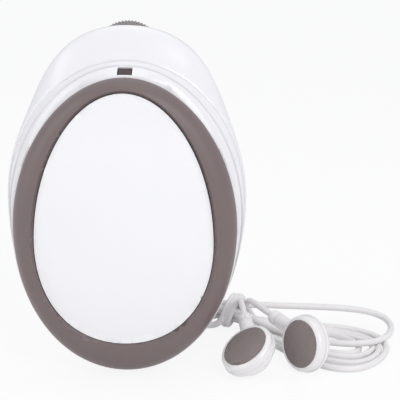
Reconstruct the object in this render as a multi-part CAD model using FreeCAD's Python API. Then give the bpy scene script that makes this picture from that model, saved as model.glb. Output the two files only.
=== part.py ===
import FreeCAD, Part
import math
import os
from collections import namedtuple

# Fetal doppler monitor with a pair of earphones. Millimetres. X to the right, Y to
# the back, Z up; the origin is under the middle of the monitor, on the surface it
# stands on. The front plate faces -Y and the probe faces +Y.

# ---------------------------------------------------------------- egg outlines
# An egg outline lies in a plane of constant Y: its half width, its lowest, widest
# and highest Z, and the fullness of its upper and lower quarters.
Egg = namedtuple("Egg", "half low wide top crown foot")
ROUND = math.sqrt(0.5)      # fullness of a true ellipse
FULL = 0.88                 # fullness of the squarer rear outlines
SLIM = 0.65                 # fullness of the slightly pointed upper front outlines
PLUMP = 0.74                # fullness of the lower front outlines

PLATE_EGG = Egg(half=26.6, low=11.0, wide=42.4, top=87.7, crown=0.67, foot=0.83)
RING_EGG = Egg(half=33.5, low=0.6, wide=45.8, top=91.3, crown=SLIM, foot=PLUMP)
SEAT_EGG = Egg(half=33.9, low=0.2, wide=46.2, top=91.8, crown=SLIM, foot=PLUMP)
STEP_1_EGG = Egg(half=35.1, low=-0.3, wide=49.0, top=94.3, crown=0.67, foot=ROUND)
STEP_2_EGG = Egg(half=35.85, low=-0.8, wide=52.5, top=95.3, crown=0.70, foot=ROUND)
CREST_EGG = Egg(half=29.7, low=-0.8, wide=62.0, top=103.75, crown=0.99, foot=ROUND)
REAR_EGG = Egg(half=30.8, low=-0.5, wide=56.8, top=97.5, crown=FULL, foot=0.75)
BACK_EGG = Egg(half=30.5, low=0.0, wide=56.4, top=96.6, crown=FULL, foot=0.75)

# ---------------------------------------------------------------- stations along Y
PLATE_APEX_Y = -23.2        # crown of the domed front plate
RING_FRONT_Y = -21.0        # crown of the ring, at its inner edge
PLATE_EDGE_Y = -20.4        # rim of the front plate, just inside the ring's bevel
SEAT_Y = -14.8              # flat front wall that the ring and the plate seat on
STEP_1_Y = -11.0            # first terrace behind the ring
STEP_2_Y = -8.0             # second terrace, where the grip begins
PARTING_Y = 2.0             # joint between the front and rear shells
REAR_Y = 18.8               # last full section of the rear shell
BACK_Y = 22.3               # flat back of the rear shell
PROBE_FACE_Y = 23.5         # flat face of the probe, proud of the back

# sections between these stations: Y, the outline that they start from and what changes
GRIP_SECTIONS = [
    (-5.5, STEP_2_EGG, Egg(half=-0.15, low=0.0, wide=1.5, top=3.5, crown=0.0, foot=0.0)),
    (-3.0, STEP_2_EGG, Egg(half=-2.05, low=0.0, wide=5.0, top=7.6, crown=0.03, foot=0.0)),
    (-0.5, CREST_EGG, Egg(half=1.4, low=0.0, wide=0.0, top=0.6, crown=-0.12, foot=0.0)),
    (PARTING_Y, CREST_EGG, Egg(half=0.0, low=0.0, wide=0.0, top=0.0, crown=0.0, foot=0.0)),
    (10.0, CREST_EGG, Egg(half=0.1, low=0.0, wide=-3.0, top=-2.05, crown=-0.12, foot=0.0)),
]

# ---------------------------------------------------------------- housing
WALL = 2.0                  # moulded wall of both shells
STEP_HEIGHT = 0.45          # rise of each terrace
BACK_ROUNDING = 3.5         # outer rounding round the back
FIT_GAP = 0.1               # clearance between pieces that seat on each other
LIP_WALL = 0.9              # outer half of the wall, which the rear shell's lip sits inside
LIP_LENGTH = 1.0            # how far the lip reaches into the front shell
LIP_START = 0.6             # height above the floor of the shell at which the lip starts
REACH = 240.0               # longer than the whole in any direction

# ---------------------------------------------------------------- front plate and ring
PLATE_WALL = 2.0
PLATE_DOME_SPREAD = 1.6     # how much wider than the plate the ellipsoid of its dome is
PLATE_GAP = 0.25            # open line between the plate and the ring
RING_WALL = 1.5
RING_BEVEL = 0.9            # bevel that leads from the ring down to the plate
PLATE_FLANGE = 1.0          # foot of the plate that the ring traps
PLATE_FLANGE_THICKNESS = 1.3
RING_PROFILE_ANGLES = (12.0, 35.0, 60.0, 85.0)
PEG_RADIUS = 1.2
PEG_BOSS_RADIUS = 2.0
PEG_PLACES = [(-26.0, 24.0), (26.0, 24.0), (-26.2, 66.0), (26.2, 66.0)]

# ---------------------------------------------------------------- indicator window
WINDOW_WIDTH = 4.2
WINDOW_HEIGHT = 3.4
WINDOW_DEPTH = 3.2
WINDOW_RECESS = 0.35
LED_WIDTH = 3.0
LED_DEPTH = 1.6
LED_HEIGHT = 1.4
LED_BELOW_EDGE = 2.2        # from the board's edge

# ---------------------------------------------------------------- volume wheel
WHEEL_RADIUS = 10.6
WHEEL_CENTRE_Z = 94.5
WHEEL_FRONT_Y = 0.2
WHEEL_THICKNESS = 3.8
WHEEL_HEAD_SEAT = 0.9       # depth at which the screw's head clamps the wheel to its shaft
WHEEL_SCREW_LENGTH = 3.0
WHEEL_TEETH = 66
TOOTH_DEPTH = 0.45
WHEEL_BEVEL = 0.5
SLOT_MARGIN = 0.8           # room round the wheel in its slot
SLOT_SIDE_GAP = 0.7
SHAFT_RADIUS = 2.0
SHAFT_CLEARANCE = 0.05
POT_RADIUS = 4.8
POT_DEPTH = 4.6
VOLUME_BOARD_HALF = 8.0
VOLUME_BOARD_LOW = 83.6
VOLUME_BOARD_TOP = 98.6
VOLUME_BOARD_THICKNESS = 1.0
VOLUME_BOARD_SCREW = (6.0, 85.4)
VOLUME_POST_RADIUS = 1.8

# ---------------------------------------------------------------- main board
BOARD_EGG = Egg(half=28.0, low=13.0, wide=48.0, top=89.0, crown=ROUND, foot=ROUND)
BOARD_REAR_Y = -7.9
BOARD_THICKNESS = 1.6
BOARD_POST_RADIUS = 2.4
BOARD_POSTS = [(-18.0, 26.0), (18.0, 26.0), (-18.0, 70.0), (18.0, 70.0)]

# ---------------------------------------------------------------- screws
SCREW_RADIUS = 1.2
SCREW_HEAD_RADIUS = 2.2
SCREW_HEAD_HEIGHT = 1.6
SCREW_LENGTH = 14.0
SCREW_SEAT_Y = 8.0
SCREW_POST_RADIUS = 2.9
SCREW_BOSS_RADIUS = 2.6
SCREW_BOSS_FRONT_Y = -7.0
POST_SINK = 0.5             # of a post's root in the wall
HOUSING_SCREWS = [(-9.0, 7.5), (9.0, 7.5), (-15.5, 88.0), (15.5, 88.0)]
SMALL_SCREW_RADIUS = 0.9
SMALL_HEAD_RADIUS = 1.7
SMALL_HEAD_HEIGHT = 1.2
SMALL_SCREW_LENGTH = 4.2
THREAD_GAP = 0.02
SCREW_END_ROOM = 0.3        # empty end of a screw's hole
HOLE_GAP = 0.1              # clearance of a screw's shank in a piece it passes through

# ---------------------------------------------------------------- probe
PROBE_Z = 32.0
PROBE_RADIUS = 18.0
PROBE_WALL = 1.5
PROBE_FRONT_Y = 14.0
PROBE_FLANGE_RADIUS = 19.4
PROBE_FLANGE_THICKNESS = 1.5
GASKET_THICKNESS = 0.6
LENS_THICKNESS = 1.5
LENS_ROUNDING = 0.8
CRYSTAL_RADIUS = 15.0
CRYSTAL_THICKNESS = 1.2
CRYSTAL_GAP = 1.2
BACKING_THICKNESS = 3.6
CLAMP_HALF_LENGTH = 24.1
CLAMP_HALF_HEIGHT = 3.6
CLAMP_THICKNESS = 1.5
CLAMP_SCREW_X = 22.2
CLAMP_POST_RADIUS = 2.2

# ---------------------------------------------------------------- battery
BATTERY_LENGTH = 46.0       # body without its terminals
BATTERY_HEIGHT = 26.5
BATTERY_DEPTH = 17.5
BATTERY_LEFT_X = -24.4
BATTERY_LOW_Z = 53.2
BATTERY_FRONT_Y = 2.7
BATTERY_EDGE = 2.0
TERMINAL_RADIUS = 2.9
TERMINAL_HEIGHT = 2.5
TERMINAL_SPACING = 12.7
SNAP_THICKNESS = 3.4
SNAP_GAP = 0.2
SNAP_HALF_HEIGHT = 11.0
SNAP_HALF_DEPTH = 5.6
TRAY_WALL = 1.2
TRAY_GAP = 0.3
DOOR_HALF_WIDTH = 24.7
DOOR_LOW_Z = 52.8
DOOR_TOP_Z = 81.8
DOOR_CORNER = 2.0
DOOR_SIDE_GAP = 0.15
DOOR_TOP_GAP = 0.5
DOOR_HOOKS = (-16.0, 16.0)
DOOR_HOOK_WIDTH = 6.0
DOOR_HOOK_LENGTH = 1.6
DOOR_HOOK_GAP = 0.2
DOOR_LIP = 0.8              # of the rear wall outside the hooks
DOOR_LATCH_WIDTH = 9.0
DOOR_LATCH_LENGTH = 3.0
DOOR_LATCH_THICKNESS = 1.0
DOOR_LATCH_BARB = 0.4
DOOR_GRIP_LINES = (73.0, 75.0, 77.0)

# ---------------------------------------------------------------- earphone jacks
JACK_Y = 7.5
JACK_Z = 13.5
JACK_FACE_X = 21.5
JACK_NOSE_RADIUS = 3.0
JACK_NOSE_LENGTH = 4.0
JACK_BODY_HALF_DEPTH = 2.9
JACK_BODY_HALF_HEIGHT = 2.6
JACK_LENGTH = 15.0
JACK_BORE_DEPTH = 14.2
JACK_PAD_RADIUS = 4.6       # flat round each socket, long enough for an angled plug
JACK_PAD_LENGTH = 9.5
JACK_PAD_THICKNESS = 5.0
PLUG_RADIUS = 1.75
PLUG_CLEARANCE = 0.05
JACK_BOARD_HALF = 15.0
JACK_BOARD_CORNER = 3.0
JACK_BOARD_LOW = 8.4
JACK_BOARD_TOP = 19.0
JACK_BOARD_THICKNESS = 1.0
JACK_BOARD_SCREW = (2.8, 10.1)
JACK_POST_RADIUS = 1.6

# ---------------------------------------------------------------- earphones
CORD_RADIUS = 1.05
HEAD_GAP = 0.3              # between the plug's head and the jack's face
PLUG_LENGTH = 14.0
PLUG_HEAD_THICKNESS = 5.4
PLUG_HEAD_HALF_HEIGHT = 3.0
PLUG_HEAD_FRONT = 3.2       # of the head in front of the plug's axis
PLUG_HEAD_BACK = 7.0
RELIEF_LENGTH = 6.0
BUD_PAD_RADIUS = 7.25
BUD_PAD_CROWN = 0.5
BUD_PAD_SEAT = 0.8
BUD_RADIUS = 8.6
BUD_BEZEL_DEPTH = 2.6
BUD_DEPTH = 8.7
BUD_SEAM_RIDGE = 0.25
STEM_REACH = 16.2           # from the bud's axis to the end of its stem
STEM_DEPTH = 5.0            # of the stem's axis behind the pad
STEM_RADIUS = 2.4
STEM_TIP_RADIUS = 2.25
BUD_WALL = 1.1
BUD_RELIEF_RADIUS = 2.2
BUD_RELIEF_LENGTH = 3.0
BUD_RELIEF_ROUNDING = 0.8
# pad centre, direction that the pad faces, direction of the stem
LEFT_BUD = ((36.4, -16.3, 9.25), (-0.51, -0.34, 0.79), (-0.12, 0.939, 0.289))
RIGHT_BUD = ((53.2, -13.6, 9.3), (-0.75, -0.64, 0.17), (-0.615, 0.770, 0.166))

# The cord is folded into a flat hank that is wrapped round its waist. The hank lies
# on the floor along a line through the waist.
HANK_WAIST = (32.1, 24.5)
HANK_ANGLE = -17.3          # of its right lobe, seen from above
WRAP_RADIUS = 5.8
WRAP_WIDTH = 4.6
WRAP_ROUNDING = 1.0
# distance along the hank, sideways middle, half width, height of the lobe there
RIGHT_LOBE = [(0.0, 0.0, 4.3, 8.6), (9.0, -0.5, 8.0, 8.6), (20.0, -1.0, 13.5, 7.6),
              (33.0, -5.0, 19.5, 6.2), (44.0, -4.5, 20.5, 5.2), (51.5, -3.0, 11.0, 4.4)]
LEFT_LOBE = [(0.0, 0.0, 4.3, 8.6), (9.0, 0.6, 7.0, 7.4), (22.0, 1.2, 9.0, 5.6), (34.0, 1.0, 8.0, 4.6),
             (39.5, 0.5, 4.0, 3.6)]
BUD_ROOM = 10.3             # the hank stays this far from the middle of the right bud
SPLITTER_PLACE = (-18.0, -1.0, 9.0)     # along, sideways and height in the hank
SPLITTER_SIZE = (11.0, 6.4, 3.4)

LEAD_FIRST_RUN = 8.0
LEAD_POINTS = [(21.6, 35.6, 11.8), (16.2, 42.2, 8.4), (9.4, 46.0, 4.2), (2.4, 46.6, 1.9),
               (-3.4, 43.9, 1.5)]
LEAD_END = (-6.4, 38.0, 2.0)
BRANCH_FIRST_RUN = 5.5
LEFT_BRANCH_POINTS = [(34.9, 14.6, 12.7), (34.9, 19.3, 11.2)]
LEFT_BRANCH_END = (35.6, 22.6, 8.6)
RIGHT_BRANCH_POINTS = [(38.8, 13.4, 13.0), (37.4, 18.2, 11.6)]
RIGHT_BRANCH_END = (37.0, 21.6, 8.8)
ARC_SHARE = 0.45            # of the shorter run that an arc takes

X_AXIS = FreeCAD.Vector(1, 0, 0)
Y_AXIS = FreeCAD.Vector(0, 1, 0)
Z_AXIS = FreeCAD.Vector(0, 0, 1)


# ---------------------------------------------------------------- helpers
def vec(x, y, z):
    return FreeCAD.Vector(x, y, z)


def block(x0, x1, y0, y1, z0, z1):
    return Part.makeBox(x1 - x0, y1 - y0, z1 - z0, vec(x0, y0, z0))


def rod(radius, x, z, y0, y1):
    """A cylinder along Y."""
    return Part.makeCylinder(radius, y1 - y0, vec(x, y0, z), Y_AXIS)


def cross_rod(radius, y, z, x0, x1):
    """A cylinder along X."""
    return Part.makeCylinder(radius, x1 - x0, vec(x0, y, z), X_AXIS)


def union(shapes):
    first = shapes[0]
    return first.multiFuse(shapes[1:]) if len(shapes) > 1 else first


def save(name, shape):
    """Write one node; a group of like pieces is written as one compound."""
    os.makedirs("parts", exist_ok=True)
    shape.exportStep("parts/" + name + ".step")
    print(name, len(shape.Solids), "solid(s), volume", round(shape.Volume, 2), shape.isValid())


def quarter(start, corner, end, weight):
    arc = Part.BSplineCurve()
    arc.buildFromPolesMultsKnots([start, corner, end], [3, 3], [0.0, 1.0], False, 2, [1.0, weight, 1.0])
    return arc.toShape()


def outline(y, egg):
    low, right = vec(0, y, egg.low), vec(egg.half, y, egg.wide)
    top, left = vec(0, y, egg.top), vec(-egg.half, y, egg.wide)
    return Part.Wire([
        quarter(low, vec(egg.half, y, egg.low), right, egg.foot),
        quarter(right, vec(egg.half, y, egg.top), top, egg.crown),
        quarter(top, vec(-egg.half, y, egg.top), left, egg.crown),
        quarter(left, vec(-egg.half, y, egg.low), low, egg.foot),
    ])


def inset(egg, by):
    return egg._replace(half=egg.half - by, low=egg.low + by, top=egg.top - by)


def changed(egg, change):
    return Egg(*[value + more for value, more in zip(egg, change)])


def between(first, second, share):
    return Egg(*[a + (b - a) * share for a, b in zip(first, second)])


def loft(sections, straight=False):
    wires = [outline(y, egg) for y, egg in sections]
    return Part.makeLoft(wires, True, straight, False, 3)


def prism(egg, y0, y1):
    return Part.Face(outline(y0, egg)).extrude(vec(0, y1 - y0, 0))


def above(z):
    return block(-REACH, REACH, -REACH, REACH, z, REACH)


def half_space(y0, y1):
    return block(-REACH, REACH, y0, y1, -REACH, REACH)


def back_edges(shape, y):
    """The edges that bound the flat face of a loft at its far end."""
    return [edge for edge in shape.Edges if edge.BoundBox.YMin > y - 0.01]


# ---------------------------------------------------------------- housing solids
def grip_sections(by):
    """Sections from the second terrace to the back, inset by a wall."""
    stations = [(STEP_2_Y, STEP_2_EGG)]
    stations += [(y, changed(egg, change)) for y, egg, change in GRIP_SECTIONS]
    stations.append((REAR_Y, REAR_EGG))
    return [(y, inset(egg, by)) for y, egg in stations] + [(BACK_Y - by, inset(BACK_EGG, by))]


def outer_body():
    """The outside of both shells: the grip with two terraces before it."""
    grip = loft(grip_sections(0.0))
    grip = grip.makeFillet(BACK_ROUNDING, back_edges(grip, BACK_Y))
    first = loft([(SEAT_Y, SEAT_EGG), (STEP_1_Y, inset(STEP_1_EGG, STEP_HEIGHT))], True)
    second = loft([(STEP_1_Y, STEP_1_EGG), (STEP_2_Y, inset(STEP_2_EGG, STEP_HEIGHT))], True)
    return union([grip, second, first]).common(above(0))


def inner_body():
    """The hollow of both shells, one wall inside the outside."""
    grip = loft(grip_sections(WALL))
    share = WALL / (STEP_1_Y - SEAT_Y)
    start = between(SEAT_EGG, inset(STEP_1_EGG, STEP_HEIGHT), share)
    end = inset(STEP_2_EGG, WALL + STEP_HEIGHT)
    front = loft([(SEAT_Y + WALL, inset(start, WALL)), (STEP_2_Y, end)], True)
    return union([grip, front]).common(above(WALL))


# ---------------------------------------------------------------- indicator window
def window_frame():
    """Placement of the window: its local Z is square to the first terrace's slope."""
    terrace_top = STEP_1_EGG.top - STEP_HEIGHT
    slope = math.degrees(math.atan2(terrace_top - SEAT_EGG.top, STEP_1_Y - SEAT_Y))
    middle = vec(0, (SEAT_Y + STEP_1_Y) / 2, (SEAT_EGG.top + terrace_top) / 2)
    return FreeCAD.Placement(middle, FreeCAD.Rotation(X_AXIS, slope))


def window_block(width, height, low, high):
    shape = block(-width / 2, width / 2, -height / 2, height / 2, low, high)
    shape.Placement = window_frame()
    return shape


def led_window():
    pane = block(-WINDOW_WIDTH / 2, WINDOW_WIDTH / 2, -WINDOW_HEIGHT / 2, WINDOW_HEIGHT / 2,
                 -WINDOW_DEPTH, -WINDOW_RECESS)
    upper = [edge for edge in pane.Edges if edge.BoundBox.ZMin > -WINDOW_RECESS - 0.01]
    pane = pane.makeChamfer(0.2, upper)
    pane.Placement = window_frame()
    return pane


def led():
    """A side-looking light-emitting diode on the board's front, under the window."""
    front = BOARD_REAR_Y - BOARD_THICKNESS
    top = BOARD_EGG.top - LED_BELOW_EDGE
    body = block(-LED_WIDTH / 2, LED_WIDTH / 2, front - LED_DEPTH, front, top - LED_HEIGHT, top)
    dome = Part.makeCylinder(LED_DEPTH / 2 - 0.2, 0.8, vec(0, front - LED_DEPTH / 2, top), Z_AXIS)
    return body.fuse(dome)


# ---------------------------------------------------------------- shells
def wheel_slot():
    front = WHEEL_FRONT_Y - SLOT_SIDE_GAP
    back = WHEEL_FRONT_Y + WHEEL_THICKNESS + SLOT_SIDE_GAP
    return rod(WHEEL_RADIUS + SLOT_MARGIN, 0, WHEEL_CENTRE_Z, front, back)


def front_shell(outer, inner):
    half = outer.common(half_space(SEAT_Y - 1, PARTING_Y))
    shell = half.cut(inner)
    wall_y = SEAT_Y + WALL
    board_front = BOARD_REAR_Y - BOARD_THICKNESS
    posts = [rod(BOARD_POST_RADIUS, x, z, wall_y, board_front) for x, z in BOARD_POSTS]
    bosses = []
    for x, z in HOUSING_SCREWS:
        start = wall_y if z < PROBE_Z else SCREW_BOSS_FRONT_Y
        bosses.append(rod(SCREW_BOSS_RADIUS, x, z, start, PARTING_Y))
    shell = union([shell] + posts + [boss.common(half) for boss in bosses])
    screw_end = SCREW_SEAT_Y - SCREW_LENGTH - SCREW_END_ROOM
    small_end = BOARD_REAR_Y - SMALL_SCREW_LENGTH - SCREW_END_ROOM
    cuts = [rod(SCREW_RADIUS + THREAD_GAP, x, z, screw_end, PARTING_Y + 1) for x, z in HOUSING_SCREWS]
    cuts += [rod(SMALL_SCREW_RADIUS + THREAD_GAP, x, z, small_end, BOARD_REAR_Y) for x, z in BOARD_POSTS]
    cuts += [rod(PEG_RADIUS + FIT_GAP, x, z, SEAT_Y - 1, wall_y + 1) for x, z in PEG_PLACES]
    cuts.append(window_block(WINDOW_WIDTH + 2 * FIT_GAP, WINDOW_HEIGHT + 2 * FIT_GAP, -WINDOW_DEPTH - 3, 3))
    cuts.append(prism(inset(CREST_EGG, LIP_WALL), PARTING_Y - LIP_LENGTH - FIT_GAP, PARTING_Y)
                .cut(union(bosses)))
    cuts.append(wheel_slot())
    return shell.cut(union(cuts))


def door_prism(grow_side, grow_top, y0, y1):
    low, top = DOOR_LOW_Z - grow_side, DOOR_TOP_Z + grow_top
    plate = block(-DOOR_HALF_WIDTH - grow_side, DOOR_HALF_WIDTH + grow_side, y0, y1, low, top)
    corners = [edge for edge in plate.Edges if edge.BoundBox.YLength > y1 - y0 - 0.01
               and edge.BoundBox.ZMax > top - 0.01]
    return plate.makeFillet(DOOR_CORNER, corners)


def tray_room(grow):
    """The room for the battery and its snap cap, or its outside with `grow` as a wall."""
    snap_x = BATTERY_LEFT_X + BATTERY_LENGTH + TRAY_GAP + SNAP_THICKNESS + TERMINAL_HEIGHT / 4
    front = BATTERY_FRONT_Y - TRAY_GAP
    low = BATTERY_LOW_Z
    high = BATTERY_LOW_Z + BATTERY_HEIGHT + TRAY_GAP
    middle = BATTERY_LOW_Z + BATTERY_HEIGHT / 2
    reach = SNAP_HALF_HEIGHT + TRAY_GAP
    body = block(BATTERY_LEFT_X - TRAY_GAP - grow, BATTERY_LEFT_X + BATTERY_LENGTH + TRAY_GAP + grow,
                 front - grow, BACK_Y + 1, low - grow, high + grow)
    cap = block(0, snap_x + grow, front - grow, BACK_Y - WALL, middle - reach - grow, middle + reach + grow)
    return body.fuse(cap)


def jack_pad(side, x0, x1):
    """A flat with round ends in the side of the housing, from the socket backwards."""
    x0, x1 = min(side * x0, side * x1), max(side * x0, side * x1)
    ends = [cross_rod(JACK_PAD_RADIUS, y, JACK_Z, x0, x1) for y in (JACK_Y, JACK_Y + JACK_PAD_LENGTH)]
    return union(ends + [block(x0, x1, JACK_Y, JACK_Y + JACK_PAD_LENGTH, JACK_Z - JACK_PAD_RADIUS,
                               JACK_Z + JACK_PAD_RADIUS)])


def hook_pocket(x):
    """Room in the rear shell for a hook of the battery door to swing in."""
    swing = math.hypot(DOOR_HOOK_LENGTH, WALL) + DOOR_HOOK_GAP
    room = cross_rod(swing, BACK_Y, DOOR_LOW_Z, x - DOOR_HOOK_WIDTH / 2 - DOOR_HOOK_GAP,
                     x + DOOR_HOOK_WIDTH / 2 + DOOR_HOOK_GAP)
    lip = BACK_Y - DOOR_LIP
    return room.cut(block(-50, 50, lip, BACK_Y + 5, 0, DOOR_LOW_Z))


def inner_screw_places():
    """Post radius, X, Z, end of the post and thickness of the piece screwed to it."""
    jack_board_y = JACK_Y + JACK_BODY_HALF_DEPTH + JACK_BOARD_THICKNESS
    volume_y = volume_board_y() + VOLUME_BOARD_THICKNESS
    places = []
    for side in (-1, 1):
        places += [
            (CLAMP_POST_RADIUS, side * CLAMP_SCREW_X, PROBE_Z, PROBE_FRONT_Y, CLAMP_THICKNESS),
            (JACK_POST_RADIUS, side * JACK_BOARD_SCREW[0], JACK_BOARD_SCREW[1], jack_board_y,
             JACK_BOARD_THICKNESS),
            (VOLUME_POST_RADIUS, side * VOLUME_BOARD_SCREW[0], VOLUME_BOARD_SCREW[1], volume_y,
             VOLUME_BOARD_THICKNESS),
        ]
    return places


def rear_shell(outer, inner):
    half = outer.common(half_space(PARTING_Y, BACK_Y + 1))
    shell = half.cut(inner)
    lip = prism(inset(CREST_EGG, LIP_WALL + FIT_GAP), PARTING_Y - LIP_LENGTH, PARTING_Y)
    lip = lip.cut(prism(inset(CREST_EGG, WALL), PARTING_Y - LIP_LENGTH - 1, PARTING_Y + 1))
    lip = lip.common(above(WALL + LIP_START))
    boss_room = [rod(SCREW_BOSS_RADIUS + FIT_GAP, x, z, PARTING_Y - LIP_LENGTH - 1, PARTING_Y)
                 for x, z in HOUSING_SCREWS]
    lip = lip.cut(union(boss_room))
    inside = BACK_Y - WALL
    posts = [rod(SCREW_POST_RADIUS, x, z, PARTING_Y, BACK_Y) for x, z in HOUSING_SCREWS]
    for radius, x, z, start, _ in inner_screw_places():
        posts.append(rod(radius, x, z, start, inside + POST_SINK))
    pads = [jack_pad(side, JACK_FACE_X - JACK_PAD_THICKNESS, JACK_FACE_X) for side in (-1, 1)]
    tray = tray_room(TRAY_WALL).cut(tray_room(0.0))
    inner_parts = [piece.common(half) for piece in posts + [tray]]
    shell = union([shell, lip] + inner_parts + pads)
    cuts = [tray_room(0.0).common(half_space(0, inside)),
            door_prism(DOOR_SIDE_GAP, DOOR_TOP_GAP, inside - 0.4, BACK_Y + 2)]
    for x, z in HOUSING_SCREWS:
        cuts.append(rod(SCREW_RADIUS + HOLE_GAP, x, z, PARTING_Y - 1, SCREW_SEAT_Y + 1))
        cuts.append(rod(SCREW_HEAD_RADIUS + 2 * HOLE_GAP, x, z, SCREW_SEAT_Y, BACK_Y + 5))
    for _, x, z, start, thickness in inner_screw_places():
        end = start - thickness + SMALL_SCREW_LENGTH + SCREW_END_ROOM
        cuts.append(rod(SMALL_SCREW_RADIUS + THREAD_GAP, x, z, start - 1, end))
    for side in (-1, 1):
        face = side * JACK_FACE_X
        cuts.append(jack_pad(side, JACK_FACE_X, JACK_FACE_X + 20))
        nose = side * (JACK_FACE_X - 8)
        cuts.append(cross_rod(JACK_NOSE_RADIUS + FIT_GAP, JACK_Y, JACK_Z,
                              min(nose, face), max(nose, face)))
        body_end = side * (JACK_FACE_X - JACK_NOSE_LENGTH)
        body_start = side * (JACK_FACE_X - JACK_LENGTH)
        cuts.append(block(min(body_end, body_start), max(body_end, body_start),
                          JACK_Y - JACK_BODY_HALF_DEPTH - FIT_GAP, JACK_Y + JACK_BODY_HALF_DEPTH + FIT_GAP,
                          JACK_Z - JACK_BODY_HALF_HEIGHT - FIT_GAP, JACK_Z + JACK_BODY_HALF_HEIGHT + FIT_GAP))
    cuts.append(rod(PROBE_RADIUS + FIT_GAP, 0, PROBE_Z, inside - 1, BACK_Y + 2))
    cuts += [hook_pocket(x) for x in DOOR_HOOKS]
    latch = DOOR_LATCH_WIDTH / 2 + 2 * DOOR_SIDE_GAP
    latch_end = inside - DOOR_LATCH_LENGTH - TRAY_GAP
    cuts.append(block(-latch, latch, latch_end, BACK_Y, DOOR_TOP_Z - 5, DOOR_TOP_Z))
    cuts.append(wheel_slot())
    return shell.cut(union(cuts))


# ---------------------------------------------------------------- front plate and ring
def plate_dome(spread, apex_y, edge_y, egg):
    """An ellipsoid whose skin is the dome of the plate."""
    centre_z = (egg.low + egg.top) / 2
    drop = 1 - math.sqrt(1 - 1 / spread ** 2)
    depth = (edge_y - apex_y) / drop
    ball = Part.makeSphere(1.0)
    matrix = FreeCAD.Matrix()
    matrix.scale(vec(egg.half * spread, depth, (egg.top - egg.low) / 2 * spread))
    matrix.move(vec(0, apex_y + depth, centre_z))
    return ball.transformGeometry(matrix)


def front_plate():
    outside = prism(PLATE_EGG, PLATE_APEX_Y - 1, SEAT_Y)
    body = outside.common(plate_dome(PLATE_DOME_SPREAD, PLATE_APEX_Y, PLATE_EDGE_Y, PLATE_EGG))
    room = prism(inset(PLATE_EGG, PLATE_WALL), PLATE_APEX_Y - 1, SEAT_Y + 1)
    hollow = plate_dome(PLATE_DOME_SPREAD, PLATE_APEX_Y + PLATE_WALL, PLATE_EDGE_Y + PLATE_WALL,
                        PLATE_EGG)
    shell = body.cut(room.common(hollow))
    flange = prism(inset(PLATE_EGG, -PLATE_FLANGE), SEAT_Y - PLATE_FLANGE_THICKNESS, SEAT_Y)
    return shell.fuse(flange.cut(room))


def trim_ring():
    """A domed band: each section lies on a quarter round between its two edges."""
    inner_edge = inset(PLATE_EGG, -PLATE_GAP)
    reach = RING_FRONT_Y - SEAT_Y

    def skin(by):
        sections = [(SEAT_Y, inset(RING_EGG, by))]
        for angle in RING_PROFILE_ANGLES:
            turn = math.radians(angle)
            egg = between(RING_EGG, inner_edge, 1 - math.cos(turn))
            sections.append((SEAT_Y + (reach + by) * math.sin(turn), inset(egg, by)))
        return loft(sections)

    hole = prism(inner_edge, PLATE_APEX_Y - 2, SEAT_Y + 1)
    core = skin(RING_WALL).cut(prism(inset(inner_edge, -RING_WALL), PLATE_APEX_Y - 2, SEAT_Y + 1))
    bevel = loft([(RING_FRONT_Y - FIT_GAP, inset(inner_edge, -RING_BEVEL)),
                  (RING_FRONT_Y + RING_BEVEL, inner_edge)], True)
    rebate = prism(inset(inner_edge, -PLATE_FLANGE), SEAT_Y - PLATE_FLANGE_THICKNESS - FIT_GAP, SEAT_Y + 1)
    ring = skin(0.0).cut(hole).cut(bevel).cut(core).cut(rebate)
    pegs = [rod(PEG_RADIUS, x, z, SEAT_Y, SEAT_Y + WALL).fuse(
            rod(PEG_BOSS_RADIUS, x, z, SEAT_Y - 3.0, SEAT_Y)) for x, z in PEG_PLACES]
    return union([ring] + pegs)


# ---------------------------------------------------------------- volume wheel
def volume_board_y():
    return WHEEL_FRONT_Y + WHEEL_THICKNESS + SLOT_SIDE_GAP + POT_DEPTH


def wheel_profile():
    """Rounded-V knurls by formula: two corners to a tooth."""
    points = []
    pitch = 2 * math.pi / WHEEL_TEETH
    for tooth in range(WHEEL_TEETH):
        for share, radius in ((0.0, WHEEL_RADIUS - TOOTH_DEPTH), (0.28, WHEEL_RADIUS), (0.62, WHEEL_RADIUS)):
            angle = (tooth + share) * pitch
            points.append(vec(radius * math.cos(angle), 0, radius * math.sin(angle)))
    return Part.Wire(Part.makePolygon(points + points[:1]).Edges)


def volume_wheel():
    disc = Part.Face(wheel_profile()).extrude(vec(0, WHEEL_THICKNESS, 0))
    r, t, b = WHEEL_RADIUS, WHEEL_THICKNESS, WHEEL_BEVEL
    rim = Part.makePolygon([vec(0, 0, 0), vec(r - b, 0, 0), vec(r + 0.01, b, 0), vec(r + 0.01, t - b, 0),
                            vec(r - b, t, 0), vec(0, t, 0), vec(0, 0, 0)])
    bevelled = Part.Face(rim).revolve(vec(0, 0, 0), Y_AXIS, 360)
    wheel = disc.common(bevelled)
    dish = rod(r - 3.0, 0, 0, -1, 0.8).cut(rod(4.2, 0, 0, -1, 0.8))
    bores = [rod(SHAFT_RADIUS, 0, 0, WHEEL_HEAD_SEAT, t + 1), rod(SMALL_HEAD_RADIUS, 0, 0, -1, t)]
    wheel = wheel.cut(union([dish] + bores))
    wheel.translate(vec(0, WHEEL_FRONT_Y, WHEEL_CENTRE_Z))
    return wheel


def volume_shaft():
    """The pot's rotor shaft, drilled for the wheel's screw."""
    start = WHEEL_FRONT_Y + WHEEL_HEAD_SEAT
    shaft = rod(SHAFT_RADIUS, 0, WHEEL_CENTRE_Z, start, volume_board_y() - 1.0)
    return shaft.cut(rod(SMALL_SCREW_RADIUS, 0, WHEEL_CENTRE_Z, start, start + WHEEL_SCREW_LENGTH))


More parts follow.
